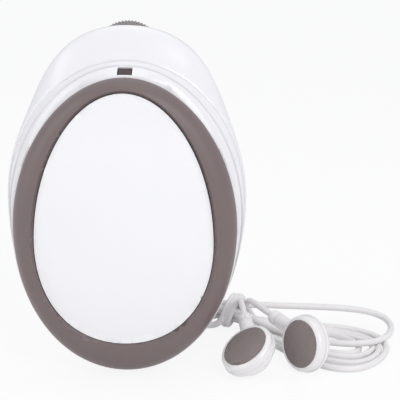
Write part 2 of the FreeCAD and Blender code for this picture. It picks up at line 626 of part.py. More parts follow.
def wheel_screw():
    seat = WHEEL_FRONT_Y + WHEEL_HEAD_SEAT
    head = rod(SMALL_HEAD_RADIUS - THREAD_GAP, 0, WHEEL_CENTRE_Z, WHEEL_FRONT_Y, seat)
    shank = rod(SMALL_SCREW_RADIUS, 0, WHEEL_CENTRE_Z, WHEEL_FRONT_Y, seat + WHEEL_SCREW_LENGTH)
    slot = block(-0.2, 0.2, WHEEL_FRONT_Y - 1, WHEEL_FRONT_Y + 0.4, WHEEL_CENTRE_Z - 2, WHEEL_CENTRE_Z + 2)
    return head.fuse(shank).cut(slot)


def volume_pot():
    front = WHEEL_FRONT_Y + WHEEL_THICKNESS + SLOT_SIDE_GAP
    body = rod(POT_RADIUS, 0, WHEEL_CENTRE_Z, front, front + POT_DEPTH)
    foot = block(-4.2, 4.2, front + 0.6, front + POT_DEPTH, VOLUME_BOARD_LOW + 1.0, WHEEL_CENTRE_Z)
    end = front + POT_DEPTH - 0.8
    bore = rod(SHAFT_RADIUS + SHAFT_CLEARANCE, 0, WHEEL_CENTRE_Z, front - 1, end)
    return body.fuse(foot).cut(bore)


def volume_board():
    y = volume_board_y()
    board = block(-VOLUME_BOARD_HALF, VOLUME_BOARD_HALF, y, y + VOLUME_BOARD_THICKNESS,
                  VOLUME_BOARD_LOW, VOLUME_BOARD_TOP)
    corners = [edge for edge in board.Edges if edge.BoundBox.YLength > VOLUME_BOARD_THICKNESS - 0.01
               and edge.BoundBox.ZMax > VOLUME_BOARD_TOP - 0.01]
    board = board.makeFillet(4.0, corners)
    x, z = VOLUME_BOARD_SCREW
    holes = [rod(SMALL_SCREW_RADIUS + HOLE_GAP, side * x, z, y - 1, y + 3) for side in (-1, 1)]
    return board.cut(union(holes))


# ---------------------------------------------------------------- boards and parts on them
def circuit_board():
    y0 = BOARD_REAR_Y - BOARD_THICKNESS
    board = prism(BOARD_EGG, y0, BOARD_REAR_Y)
    holes = [rod(SMALL_SCREW_RADIUS + HOLE_GAP, x, z, y0 - 1, BOARD_REAR_Y + 1) for x, z in BOARD_POSTS]
    return board.cut(union(holes))


def chip(x, z, width, height, thickness, legs):
    """A moulded chip with its row of legs fused along both sides."""
    y = BOARD_REAR_Y
    body = block(x - width / 2, x + width / 2, y + 0.1, y + 0.1 + thickness, z - height / 2, z + height / 2)
    rear = [edge for edge in body.Edges if edge.BoundBox.YMin > y + thickness]
    body = body.makeChamfer(0.25, rear)
    pitch = (width - 1.0) / legs
    reach = height / 2 + 0.9
    rows = []
    for leg in range(legs):
        at = x - width / 2 + 0.5 + (leg + 0.5) * pitch
        rows.append(block(at - pitch / 4, at + pitch / 4, y, y + 0.35, z - reach, z + reach))
    return union([body] + rows)


def capacitors():
    """Can capacitors standing on the back of the board."""
    cans = []
    for x, z, radius, height in ((-15.0, 40.0, 3.1, 6.8), (-15.0, 49.0, 3.1, 6.8), (15.5, 44.0, 2.5, 5.4)):
        can = rod(radius, x, z, BOARD_REAR_Y, BOARD_REAR_Y + height)
        groove = rod(radius + 1, x, z, BOARD_REAR_Y + 1.2, BOARD_REAR_Y + 1.7).cut(
            rod(radius - 0.3, x, z, BOARD_REAR_Y + 1, BOARD_REAR_Y + 2))
        cans.append(can.cut(groove))
    return Part.makeCompound(cans)


def crystal_can():
    can = block(6.0, 16.5, BOARD_REAR_Y, BOARD_REAR_Y + 3.4, 55.0, 59.2)
    upright = [edge for edge in can.Edges if edge.BoundBox.YLength > 3.3]
    return can.makeFillet(1.9, upright)


def coil_pair():
    coils = []
    for z in (30.0, 36.0):
        core = rod(2.2, -7.0, z, BOARD_REAR_Y, BOARD_REAR_Y + 4.0)
        waist = rod(3.0, -7.0, z, BOARD_REAR_Y + 1.0, BOARD_REAR_Y + 3.0).cut(
            rod(1.7, -7.0, z, BOARD_REAR_Y, BOARD_REAR_Y + 4.0))
        coils.append(core.cut(waist))
    return Part.makeCompound(coils)


# ---------------------------------------------------------------- screws
def screw(x, z, seat_y, radius, length, head_radius, head_height):
    """A pan-head screw along Y with a cross slot; its head faces +Y."""
    shank = rod(radius, x, z, seat_y - length, seat_y)
    head = rod(head_radius, x, z, seat_y, seat_y + head_height)
    top = seat_y + head_height
    rim = [edge for edge in head.Edges if edge.BoundBox.YMin > top - 0.01]
    head = head.makeChamfer(head_height * 0.35, rim)
    slot, arm, deep = head_radius * 0.16, head_radius * 0.6, head_height * 0.55
    cross = [block(x - slot, x + slot, top - deep, top + 1, z - arm, z + arm),
             block(x - arm, x + arm, top - deep, top + 1, z - slot, z + slot)]
    return head.fuse(shank).cut(union(cross))


def housing_screws():
    return Part.makeCompound([screw(x, z, SCREW_SEAT_Y, SCREW_RADIUS, SCREW_LENGTH, SCREW_HEAD_RADIUS,
                                    SCREW_HEAD_HEIGHT) for x, z in HOUSING_SCREWS])


def small_screw(x, z, seat_y, towards_front=False):
    made = screw(x, z, seat_y, SMALL_SCREW_RADIUS, SMALL_SCREW_LENGTH, SMALL_HEAD_RADIUS,
                 SMALL_HEAD_HEIGHT)
    if towards_front:
        made.rotate(vec(x, seat_y, z), Z_AXIS, 180)
    return made


def board_screws():
    return Part.makeCompound([small_screw(x, z, BOARD_REAR_Y) for x, z in BOARD_POSTS])


def inner_screws():
    """Screws that hold the probe clamp, the jack board and the volume board."""
    return Part.makeCompound([small_screw(x, z, start - thickness, True)
                              for _, x, z, start, thickness in inner_screw_places()])


# ---------------------------------------------------------------- probe
def probe_cup():
    end = PROBE_FACE_Y - LENS_THICKNESS
    cup = rod(PROBE_RADIUS, 0, PROBE_Z, PROBE_FRONT_Y, end)
    flange_y = BACK_Y - WALL - GASKET_THICKNESS
    flange = rod(PROBE_FLANGE_RADIUS, 0, PROBE_Z, flange_y - PROBE_FLANGE_THICKNESS, flange_y)
    room = rod(PROBE_RADIUS - PROBE_WALL, 0, PROBE_Z, PROBE_FRONT_Y + PROBE_WALL, end + 1)
    return cup.fuse(flange).cut(room)


def probe_gasket():
    y = BACK_Y - WALL
    seal = rod(PROBE_FLANGE_RADIUS, 0, PROBE_Z, y - GASKET_THICKNESS, y)
    return seal.cut(rod(PROBE_RADIUS + FIT_GAP, 0, PROBE_Z, y - 2, y + 1))


def probe_lens():
    lens = rod(PROBE_RADIUS, 0, PROBE_Z, PROBE_FACE_Y - LENS_THICKNESS, PROBE_FACE_Y)
    rim = [edge for edge in lens.Edges if edge.BoundBox.YMin > PROBE_FACE_Y - 0.01]
    return lens.makeFillet(LENS_ROUNDING, rim)


def probe_crystals():
    """Two half-moon crystals, one that sends and one that listens."""
    end = PROBE_FACE_Y - LENS_THICKNESS
    disc = rod(CRYSTAL_RADIUS, 0, PROBE_Z, end - CRYSTAL_THICKNESS, end)
    gap = block(-CRYSTAL_GAP / 2, CRYSTAL_GAP / 2, end - 5, end + 5, 0, 2 * PROBE_Z)
    return disc.cut(gap)


def probe_backing():
    end = PROBE_FACE_Y - LENS_THICKNESS - CRYSTAL_THICKNESS
    return rod(PROBE_RADIUS - PROBE_WALL - FIT_GAP, 0, PROBE_Z, end - BACKING_THICKNESS, end)


def probe_clamp():
    back = PROBE_FRONT_Y
    bar = block(-CLAMP_HALF_LENGTH, CLAMP_HALF_LENGTH, back - CLAMP_THICKNESS, back,
                PROBE_Z - CLAMP_HALF_HEIGHT, PROBE_Z + CLAMP_HALF_HEIGHT)
    ends = [edge for edge in bar.Edges if edge.BoundBox.YLength > CLAMP_THICKNESS - 0.01]
    bar = bar.makeFillet(1.5, ends)
    rib = block(-CLAMP_SCREW_X + 4, CLAMP_SCREW_X - 4, back - CLAMP_THICKNESS - 1.6, back - CLAMP_THICKNESS,
                PROBE_Z - 0.7, PROBE_Z + 0.7)
    bar = bar.fuse(rib)
    for side in (-1, 1):
        hole = rod(SMALL_SCREW_RADIUS + HOLE_GAP, side * CLAMP_SCREW_X, PROBE_Z, back - 5, back + 1)
        bar = bar.cut(hole)
    return bar


# ---------------------------------------------------------------- battery
def battery():
    body = block(BATTERY_LEFT_X, BATTERY_LEFT_X + BATTERY_LENGTH,
                 BATTERY_FRONT_Y, BATTERY_FRONT_Y + BATTERY_DEPTH,
                 BATTERY_LOW_Z, BATTERY_LOW_Z + BATTERY_HEIGHT)
    long_edges = [edge for edge in body.Edges if edge.BoundBox.XLength > BATTERY_LENGTH - 0.01]
    return body.makeFillet(BATTERY_EDGE, long_edges)


def terminal_places():
    y = BATTERY_FRONT_Y + BATTERY_DEPTH / 2
    middle = BATTERY_LOW_Z + BATTERY_HEIGHT / 2
    return [(y, middle - TERMINAL_SPACING / 2), (y, middle + TERMINAL_SPACING / 2)]


def battery_terminals():
    start = BATTERY_LEFT_X + BATTERY_LENGTH
    return Part.makeCompound([cross_rod(TERMINAL_RADIUS, y, z, start, start + TERMINAL_HEIGHT)
                              for y, z in terminal_places()])


def battery_snap():
    """The clip-on cap that carries the two mating contacts."""
    start = BATTERY_LEFT_X + BATTERY_LENGTH + SNAP_GAP
    y = BATTERY_FRONT_Y + BATTERY_DEPTH / 2
    z = BATTERY_LOW_Z + BATTERY_HEIGHT / 2
    cap = block(start, start + SNAP_THICKNESS, y - SNAP_HALF_DEPTH, y + SNAP_HALF_DEPTH,
                z - SNAP_HALF_HEIGHT, z + SNAP_HALF_HEIGHT)
    ends = [edge for edge in cap.Edges if edge.BoundBox.XLength > SNAP_THICKNESS - 0.01]
    cap = cap.makeFillet(3.0, ends)
    end = start + TERMINAL_HEIGHT - SNAP_GAP
    for place_y, place_z in terminal_places():
        cap = cap.cut(cross_rod(TERMINAL_RADIUS + FIT_GAP, place_y, place_z, start - 1, end))
    return cap


def battery_door(outer):
    """The door follows the back of the housing; it hooks in below and snaps in above."""
    inside = BACK_Y - WALL
    plate = outer.common(door_prism(0.0, 0.0, inside, BACK_Y + 2))
    hooks = [block(x - DOOR_HOOK_WIDTH / 2, x + DOOR_HOOK_WIDTH / 2,
                   inside, BACK_Y - DOOR_LIP - DOOR_SIDE_GAP,
                   DOOR_LOW_Z - DOOR_HOOK_LENGTH, DOOR_LOW_Z + 0.5) for x in DOOR_HOOKS]
    half = DOOR_LATCH_WIDTH / 2
    top = DOOR_TOP_Z - 0.6
    tip = inside - DOOR_LATCH_LENGTH
    arm = block(-half, half, tip, inside, top - DOOR_LATCH_THICKNESS, top)
    barb = block(-half, half, tip, tip + 1.0, top, top + DOOR_LATCH_BARB)
    lines = [block(-6, 6, BACK_Y - 0.5, BACK_Y + 1, z, z + 0.9) for z in DOOR_GRIP_LINES]
    return union([plate, arm, barb] + hooks).cut(union(lines))


# ---------------------------------------------------------------- earphone jacks
def jack(side):
    """A socket for a 3.5 mm plug; side is 1 on the right and -1 on the left."""
    face = JACK_FACE_X
    nose = cross_rod(JACK_NOSE_RADIUS, JACK_Y, JACK_Z, face - JACK_NOSE_LENGTH, face)
    body = block(face - JACK_LENGTH, face - JACK_NOSE_LENGTH,
                 JACK_Y - JACK_BODY_HALF_DEPTH, JACK_Y + JACK_BODY_HALF_DEPTH,
                 JACK_Z - JACK_BODY_HALF_HEIGHT, JACK_Z + JACK_BODY_HALF_HEIGHT)
    bore = cross_rod(PLUG_RADIUS + PLUG_CLEARANCE, JACK_Y, JACK_Z, face - JACK_BORE_DEPTH, face + 1)
    socket = nose.fuse(body).cut(bore)
    if side < 0:
        socket.rotate(vec(0, JACK_Y, 0), Z_AXIS, 180)
    return socket


def jack_board():
    y = JACK_Y + JACK_BODY_HALF_DEPTH
    board = block(-JACK_BOARD_HALF, JACK_BOARD_HALF, y, y + JACK_BOARD_THICKNESS,
                  JACK_BOARD_LOW, JACK_BOARD_TOP)
    corners = [edge for edge in board.Edges if edge.BoundBox.YLength > JACK_BOARD_THICKNESS - 0.01
               and edge.BoundBox.ZMax < JACK_BOARD_LOW + 0.01]
    board = board.makeFillet(JACK_BOARD_CORNER, corners)
    x, z = JACK_BOARD_SCREW
    holes = [rod(SMALL_SCREW_RADIUS + HOLE_GAP, side * x, z, y - 1, y + 3) for side in (-1, 1)]
    holes += [rod(SCREW_POST_RADIUS + 0.3, x, z, y - 1, y + 3) for x, z in HOUSING_SCREWS[:2]]
    return board.cut(union(holes))


# ---------------------------------------------------------------- cords
def arc_route(points):
    """Straight runs joined by tangent arcs, as one wire; prints the arc radii."""
    points = [vec(*point) for point in points]
    edges, radii = [], []
    start = points[0]
    for before, corner, after in zip(points, points[1:], points[2:]):
        back, ahead = (before - corner), (after - corner)
        run = min(back.Length, ahead.Length)
        back.normalize()
        ahead.normalize()
        turn = math.pi - back.getAngle(ahead)
        take = ARC_SHARE * run
        radius = take / math.tan(turn / 2)
        radii.append(round(radius, 1))
        first, last = corner + back * take, corner + ahead * take
        middle_way = back + ahead
        middle_way.normalize()
        middle = corner + middle_way * (math.hypot(radius, take) - radius)
        edges.append(Part.LineSegment(start, first).toShape())
        edges.append(Part.Arc(first, middle, last).toShape())
        start = last
    edges.append(Part.LineSegment(start, points[-1]).toShape())
    return Part.Wire(edges), radii


def cord_tube(points, radius, name):
    wire, radii = arc_route(points)
    direction = vec(*points[1]) - vec(*points[0])
    circle = Part.Wire(Part.makeCircle(radius, vec(*points[0]), direction))
    tube = wire.makePipeShell([circle], True, False)
    expected = math.pi * radius ** 2 * wire.Length
    share = round(tube.Volume / expected, 4)
    print(name, "arc radii", radii, "length", round(wire.Length, 1), "volume", share)
    return tube


# ---------------------------------------------------------------- earbuds
def bud_place(bud):
    """Placement whose local Z is where the pad faces and local X is the stem."""
    centre, facing, stem = bud
    z_way = vec(*facing)
    z_way.normalize()
    y_way = z_way.cross(vec(*stem))
    y_way.normalize()
    x_way = y_way.cross(z_way)
    matrix = FreeCAD.Matrix(x_way.x, y_way.x, z_way.x, centre[0],
                            x_way.y, y_way.y, z_way.y, centre[1],
                            x_way.z, y_way.z, z_way.z, centre[2], 0, 0, 0, 1)
    return FreeCAD.Placement(matrix)


def turned(profile):
    return Part.Face(Part.Wire(profile)).revolve(vec(0, 0, 0), Z_AXIS, 360)


def line(a, b):
    return Part.LineSegment(vec(a[0], 0, a[1]), vec(b[0], 0, b[1])).toShape()


def curve(points):
    spline = Part.BSplineCurve()
    spline.interpolate([vec(x, 0, z) for x, z in points])
    return spline.toShape()


def bud_pad():
    """The pad that covers the driver, slightly domed."""
    disc = Part.makeCylinder(BUD_PAD_RADIUS, BUD_PAD_SEAT + BUD_PAD_CROWN, vec(0, 0, -BUD_PAD_SEAT), Z_AXIS)
    ball = (BUD_PAD_RADIUS ** 2 + BUD_PAD_CROWN ** 2) / (2 * BUD_PAD_CROWN)
    return disc.common(Part.makeSphere(ball, vec(0, 0, BUD_PAD_CROWN - ball)))


def bud_bezel():
    inner = BUD_PAD_RADIUS + 0.05
    rounding = Part.Arc(vec(inner, 0, 0.1), vec(BUD_RADIUS - 0.25, 0, -0.4), vec(BUD_RADIUS, 0, -1.2))
    rounding = rounding.toShape()
    return turned([rounding, line((BUD_RADIUS, -1.2), (BUD_RADIUS, -BUD_BEZEL_DEPTH)),
                   line((BUD_RADIUS, -BUD_BEZEL_DEPTH), (inner - 1.0, -BUD_BEZEL_DEPTH)),
                   line((inner - 1.0, -BUD_BEZEL_DEPTH), (inner - 1.0, -BUD_PAD_SEAT)),
                   line((inner - 1.0, -BUD_PAD_SEAT), (inner, -BUD_PAD_SEAT)),
                   line((inner, -BUD_PAD_SEAT), (inner, 0.1))])


def bud_shell():
    """The back of the bud with its stem in one moulding, hollow for the driver."""
    rim = BUD_RADIUS + BUD_SEAM_RIDGE
    start = -BUD_BEZEL_DEPTH
    back = curve([(rim, start), (rim - 0.1, start - 1.0), (7.3, -5.2), (5.2, -7.6),
                  (2.6, -BUD_DEPTH + 0.1), (0, -BUD_DEPTH)])
    solid = turned([back, line((0, -BUD_DEPTH), (0, start)), line((0, start), (rim, start))])
    stem = Part.makeCone(STEM_RADIUS, STEM_TIP_RADIUS, STEM_REACH, vec(0, 0, -STEM_DEPTH), X_AXIS)
    tip = [edge for edge in stem.Edges if edge.BoundBox.XMin > STEM_REACH - 0.01]
    stem = stem.makeFillet(0.6, tip)
    wall = BUD_WALL
    room_back = curve([(rim - wall - 0.5, start + 1), (7.0, -3.2), (6.2, -4.9), (4.2, -6.6),
                       (0, -BUD_DEPTH + wall)])
    room = turned([room_back, line((0, -BUD_DEPTH + wall), (0, start + 1)),
                   line((0, start + 1), (rim - wall - 0.5, start + 1))])
    shell = solid.fuse(stem).cut(room)
    return shell.cut(Part.makeCylinder(CORD_RADIUS, STEM_REACH + 5, vec(4.5, 0, -STEM_DEPTH), X_AXIS))


def bud_driver():
    """The small round speaker that fills the bezel behind the pad."""
    plate = Part.makeCylinder(BUD_PAD_RADIUS - 1.05, 1.7, vec(0, 0, -2.5), Z_AXIS)
    magnet = Part.makeCylinder(4.2, 1.2, vec(0, 0, -3.6), Z_AXIS)
    return plate.fuse(magnet)


def bud_relief():
    """The short thick sleeve at the end of the stem, with its collar inside the stem."""
    collar = Part.makeCylinder(CORD_RADIUS, 2.0, vec(STEM_REACH - 2.0, 0, -STEM_DEPTH), X_AXIS)
    sleeve = Part.makeCylinder(BUD_RELIEF_RADIUS, BUD_RELIEF_LENGTH, vec(STEM_REACH, 0, -STEM_DEPTH),
                               X_AXIS)
    tip = [edge for edge in sleeve.Edges if edge.BoundBox.XMin > STEM_REACH + BUD_RELIEF_LENGTH - 0.01]
    return collar.fuse(sleeve.makeFillet(BUD_RELIEF_ROUNDING, tip))


def placed(shape, bud):
    shape.Placement = bud_place(bud)
    return shape


def bud_point(bud, along):
    """A point on the stem's axis, as row coordinates."""
    point = bud_place(bud).multVec(vec(along, 0, -STEM_DEPTH))
    return (point.x, point.y, point.z)


# ---------------------------------------------------------------- hank
def hank_point(along, across, height):
    turn = math.radians(HANK_ANGLE)
    return vec(HANK_WAIST[0] + along * math.cos(turn) - across * math.sin(turn),
               HANK_WAIST[1] + along * math.sin(turn) + across * math.cos(turn), height)


def hank_section(along, across, half, height, low):
    turn = math.radians(HANK_ANGLE)
    side = vec(-math.sin(turn), math.cos(turn), 0)
    centre = hank_point(along, across, low + height / 2)
    if half > height / 2:
        ellipse = Part.Ellipse(centre + side * half, centre + Z_AXIS * (height / 2), centre)
    else:
        ellipse = Part.Ellipse(centre + Z_AXIS * (height / 2), centre + side * half, centre)
    return Part.Wire([ellipse.toShape()])


def lobe(stations, side):
    """The outer shape of one end of the hank, from the wrap outwards."""
    wires = []
    for index, (along, across, half, height) in enumerate(stations):
        low = (WRAP_RADIUS - height / 2, 0.6, 0.02)[min(index, 2)]
        wires.append(hank_section(side * (WRAP_WIDTH / 2 + along), across, half, height, low))
    return Part.makeLoft(wires, True, False, False, 3)


def hank_wrap():
    turn = math.radians(HANK_ANGLE)
    way = vec(math.cos(turn), math.sin(turn), 0)
    start = hank_point(-WRAP_WIDTH / 2, 0, WRAP_RADIUS)
    wrap = Part.makeCylinder(WRAP_RADIUS, WRAP_WIDTH, start, way)
    ends = [edge for edge in wrap.Edges if isinstance(edge.Curve, Part.Circle)]
    return wrap.makeFillet(WRAP_ROUNDING, ends)


def cable_splitter():
    along, across, height = SPLITTER_PLACE
    length, width, thick = SPLITTER_SIZE
    piece = Part.makeBox(length, width, thick, vec(-length / 2, -width / 2, -thick / 2))
    piece = piece.makeFillet(1.5, [edge for edge in piece.Edges if edge.BoundBox.XLength > length - 0.01])
    turn = FreeCAD.Rotation(Z_AXIS, HANK_ANGLE)
    piece.Placement = FreeCAD.Placement(hank_point(along, across, height), turn)
    return piece


# ---------------------------------------------------------------- plug
def plug_parts():
    """Tip, ring and sleeve contacts, and the two insulating rings between them."""
    face = JACK_FACE_X + HEAD_GAP
    tip_end = face - PLUG_LENGTH
    bands = [(tip_end, tip_end + 3.4), (tip_end + 4.0, tip_end + 6.4), (tip_end + 7.0, face)]
    gaps = [(bands[0][1], bands[1][0]), (bands[1][1], bands[2][0])]
    contacts = [cross_rod(PLUG_RADIUS, JACK_Y, JACK_Z, x0, x1) for x0, x1 in bands]
    nose = [edge for edge in contacts[0].Edges if edge.BoundBox.XMax < tip_end + 0.01]
    contacts[0] = contacts[0].makeChamfer(0.9, nose)
    rings = [cross_rod(PLUG_RADIUS, JACK_Y, JACK_Z, x0, x1) for x0, x1 in gaps]
    return Part.makeCompound(contacts), Part.makeCompound(rings)


def plug_head():
    """The moulded head, square to the plug's axis."""
    face = JACK_FACE_X + HEAD_GAP
    head = block(face, face + PLUG_HEAD_THICKNESS, JACK_Y - PLUG_HEAD_FRONT, JACK_Y + PLUG_HEAD_BACK,
                 JACK_Z - PLUG_HEAD_HALF_HEIGHT, JACK_Z + PLUG_HEAD_HALF_HEIGHT)
    outer = [edge for edge in head.Edges if edge.BoundBox.YLength > 1]
    return head.makeFillet(1.6, outer)


def plug_relief():
    start = (JACK_FACE_X + HEAD_GAP + PLUG_HEAD_THICKNESS / 2, JACK_Y + PLUG_HEAD_BACK, JACK_Z)
    cone = Part.makeCone(2.2, CORD_RADIUS + 0.2, RELIEF_LENGTH, vec(*start), Y_AXIS)
    for ring in range(3):
        y = start[1] + 1.3 + ring * 1.5
        core = rod(CORD_RADIUS + 0.3, start[0], start[2], y - 0.1, y + 0.7)
        cone = cone.cut(rod(3.0, start[0], start[2], y, y + 0.6).cut(core))
    return cone


def lead_start():
    x = JACK_FACE_X + HEAD_GAP + PLUG_HEAD_THICKNESS / 2
    return (x, JACK_Y + PLUG_HEAD_BACK + RELIEF_LENGTH, JACK_Z)


def main():
    outer = outer_body()
    inner = inner_body()
    save("front_shell", front_shell(outer, inner))
    save("rear_shell", rear_shell(outer, inner))
    save("front_plate", front_plate())
    save("trim_ring", trim_ring())
    save("led_window", led_window())
    save("led", led())
    save("volume_wheel", volume_wheel())
    save("volume_shaft", volume_shaft())
    save("wheel_screw", wheel_screw())
    save("volume_pot", volume_pot())
    save("volume_board", volume_board())
    save("circuit_board", circuit_board())
    save("processor_chip", chip(0.0, 47.0, 10.0, 10.0, 1.2, 10))
    save("amplifier_chip", chip(2.0, 69.0, 5.0, 4.0, 1.2, 4))
    save("capacitors", capacitors())
    save("crystal_can", crystal_can())
    save("inductors", coil_pair())
    save("housing_screws", housing_screws())
    save("board_screws", board_screws())
    save("inner_screws", inner_screws())
    save("probe_cup", probe_cup())
    save("probe_gasket", probe_gasket())
    save("probe_lens", probe_lens())
    save("probe_crystals", probe_crystals())
    save("probe_backing", probe_backing())
    save("probe_clamp", probe_clamp())
    save("battery", battery())
    save("battery_terminals", battery_terminals())
    save("battery_snap", battery_snap())
    save("battery_door", battery_door(outer))
    save("earphone_jack_right", jack(1))
    save("earphone_jack_left", jack(-1))
    save("jack_board", jack_board())
    contacts, rings = plug_parts()
    save("plug_contacts", contacts)
    save("plug_insulators", rings)
    save("plug_head", plug_head())
    save("plug_strain_relief", plug_relief())
    x, y, z = lead_start()
    lead = [(x, y, z), (x, y + LEAD_FIRST_RUN, z)] + LEAD_POINTS + [LEAD_END]
    save("lead_cord", cord_tube(lead, CORD_RADIUS, "lead_cord"))
    room = Part.makeSphere(BUD_ROOM, vec(*bud_point(RIGHT_BUD, 0)))
    save("cord_hank_right", lobe(RIGHT_LOBE, 1).cut(room))
    save("cord_hank_left", lobe(LEFT_LOBE, -1))
    save("hank_wrap", hank_wrap())
    save("cord_splitter", cable_splitter())
    for name, bud, points, end in (("left", LEFT_BUD, LEFT_BRANCH_POINTS, LEFT_BRANCH_END),
                                   ("right", RIGHT_BUD, RIGHT_BRANCH_POINTS, RIGHT_BRANCH_END)):
        save(name + "_bud_shell", placed(bud_shell(), bud))
        save(name + "_bud_bezel", placed(bud_bezel(), bud))
        save(name + "_bud_pad", placed(bud_pad(), bud))
        save(name + "_bud_driver", placed(bud_driver(), bud))
        save(name + "_bud_relief", placed(bud_relief(), bud))
        reach = STEM_REACH + BUD_RELIEF_LENGTH
        route = [bud_point(bud, reach), bud_point(bud, reach + BRANCH_FIRST_RUN)] + points + [end]
        save(name + "_branch_cord", cord_tube(route, CORD_RADIUS, name + "_branch_cord"))


main()
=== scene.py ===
import math
from collections import namedtuple

import bpy
from mathutils import Matrix, Vector


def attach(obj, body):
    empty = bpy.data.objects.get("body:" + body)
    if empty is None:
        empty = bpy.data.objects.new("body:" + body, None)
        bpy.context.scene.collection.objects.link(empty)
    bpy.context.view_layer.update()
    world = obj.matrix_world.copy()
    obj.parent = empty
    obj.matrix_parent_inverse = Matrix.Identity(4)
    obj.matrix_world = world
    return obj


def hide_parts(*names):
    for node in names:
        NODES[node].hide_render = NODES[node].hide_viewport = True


bl_info = {
    "name": "Fetal Doppler Monitor",
    "version": (1, 0, 0),
    "blender": (4, 5, 0),
    "location": "View3D > Sidebar > Doppler",
    "description": "Builds the finishes, cords, earbuds and stage of a fetal doppler monitor",
    "category": "Object",
}

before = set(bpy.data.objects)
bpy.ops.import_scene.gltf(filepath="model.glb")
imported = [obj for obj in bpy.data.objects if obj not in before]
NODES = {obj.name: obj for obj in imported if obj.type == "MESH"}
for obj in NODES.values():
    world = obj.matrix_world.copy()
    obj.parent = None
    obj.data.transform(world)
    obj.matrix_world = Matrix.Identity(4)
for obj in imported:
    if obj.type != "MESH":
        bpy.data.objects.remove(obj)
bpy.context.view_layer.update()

MM = 0.001                  # metres
MERGE_DISTANCE = 0.004 * MM

# ------------------------------------------------------------------ places shared with the CAD
# The cords' routes repeat the points of the CAD part. They are in millimetres, in the
# monitor's frame, until `to_metres` turns them.
PLUG_RELIEF_END = (24.5, 20.5, 13.5)
LEAD_FIRST_RUN = 8.0        # straight, out of the plug's relief
LEAD_POINTS = [(21.6, 35.6, 11.8), (16.2, 42.2, 8.4), (9.4, 46.0, 4.2), (2.4, 46.6, 1.9),
               (-3.4, 43.9, 1.5), (-6.4, 38.0, 2.0)]
BRANCH_FIRST_RUN = 5.5      # straight, out of an earbud's relief
LEFT_BRANCH_POINTS = [(34.9, 14.6, 12.7), (34.9, 19.3, 11.2), (35.6, 22.6, 8.6)]
RIGHT_BRANCH_POINTS = [(38.8, 13.4, 13.0), (37.4, 18.2, 11.6), (37.0, 21.6, 8.8)]
# pad centre, direction that the pad faces, direction of the stem
LEFT_BUD = ((36.4, -16.3, 9.25), (-0.51, -0.34, 0.79), (-0.12, 0.939, 0.289))
RIGHT_BUD = ((53.2, -13.6, 9.3), (-0.75, -0.64, 0.17), (-0.615, 0.770, 0.166))
STEM_DEPTH = 5.0            # of the stem's axis behind the pad
RELIEF_END = 19.2           # from the bud's axis to the end of its relief
HANK_WAIST = (32.1, 24.5)
HANK_ANGLE = math.radians(-17.3)
WAIST_HEIGHT = 5.8
SPLITTER = (-18.0, -1.0, 9.0)   # along, across and above, in the hank
SPLITTER_HALF = 5.5

# ------------------------------------------------------------------ lay of the hank
# A place in the hank is in millimetres along it, to the right of its waist, then across
# it, to the back, and then above the floor.
STRAND_PITCH = 1.05         # of the spiral of strands that fills the waist
STRAND_START = 0.3
STRAND_TURN = 2.4           # radians from one strand of the spiral to the next
WAIST_HALF = 3.2            # half length of a strand's straight run through the waist
WAIST_REACH = 14.0          # along the hank, where a strand has left its place in the waist
LOOP_POINTS = 16
FRONT_FULLNESS = 0.1        # the lower, the wider a loop's front leaves the waist
FAR_TURN_PLACE = -36.0      # along the hank, where the branches turn back
FAR_TURN_POINTS = 6

WRAP_TURNS = 2.36
WRAP_POINTS = 14            # in each turn
WRAP_RADIUS = 4.9           # of the cord's axis round the waist
WRAP_WIDTH = 2.5
WRAP_SLANT = 1.5

# `side` is 1 for the right lobe and -1 for the left one, and `end` is how far the loop
# reaches. `back` and `front` are its widths, and `skew` shifts its tip. It lies at the
# height `tip` there, and rises by `lift` on its way out and by `drop` on its way home.
Loop = namedtuple("Loop", "side end back front skew tip lift drop")

# from the lead round the left end, under the waist and up its front
WAY_TO_WRAP = [(-40.4, -2.6, 2.2), (-37.0, -5.4, 2.4), (-30.0, -6.4, 2.4), (-20.0, -6.4, 2.0),
               (-12.0, -5.8, 1.6), (-8.4, -5.3, 1.25), (-4.7, -5.0, 1.6), (-2.8, -4.95, 2.7),
               (-1.8, -4.9, 4.2)]
WAY_FROM_WRAP = [(2.7, 4.8, 7.4), (3.9, 5.3, 5.2), (5.4, 4.7, 3.0), (7.6, 4.1, 1.6)]
FIRST_LOOP_START = (9.0, 1.2)   # across and above
# each loop with the number of the strand in which it comes back through the waist
MAIN_LOOPS = [
    (Loop(side=1, end=51.5, back=12.7, front=16.2, skew=-9.0, tip=1.1, lift=0.4, drop=0.2), 0),
    (Loop(side=-1, end=38.0, back=7.5, front=7.5, skew=0.5, tip=3.2, lift=1.0, drop=1.0), 6),
    (Loop(side=1, end=52.5, back=18.0, front=13.5, skew=4.0, tip=3.2, lift=5.5, drop=0.4), 1),
    (Loop(side=-1, end=35.0, back=7.0, front=7.0, skew=0.5, tip=1.2, lift=1.0, drop=1.0), 2),
    (Loop(side=1, end=53.7, back=15.0, front=22.6, skew=-8.0, tip=1.1, lift=1.8, drop=0.4), 4),
]
WAY_TO_SPLITTER = [(-7.5, -1.4, 7.6), (SPLITTER[0] + SPLITTER_HALF, SPLITTER[1], SPLITTER[2])]

# `points` are those of the CAD part, and `hole` is where a branch leaves the splitter, off
# its middle. `far_turn` is the radius, the middle and the height of its turn at the left
# end, `strands` are its two in the waist, and `way_out` leads from there to its points.
Branch = namedtuple("Branch", "bud points hole far_turn strands right_loop left_loop way_out")

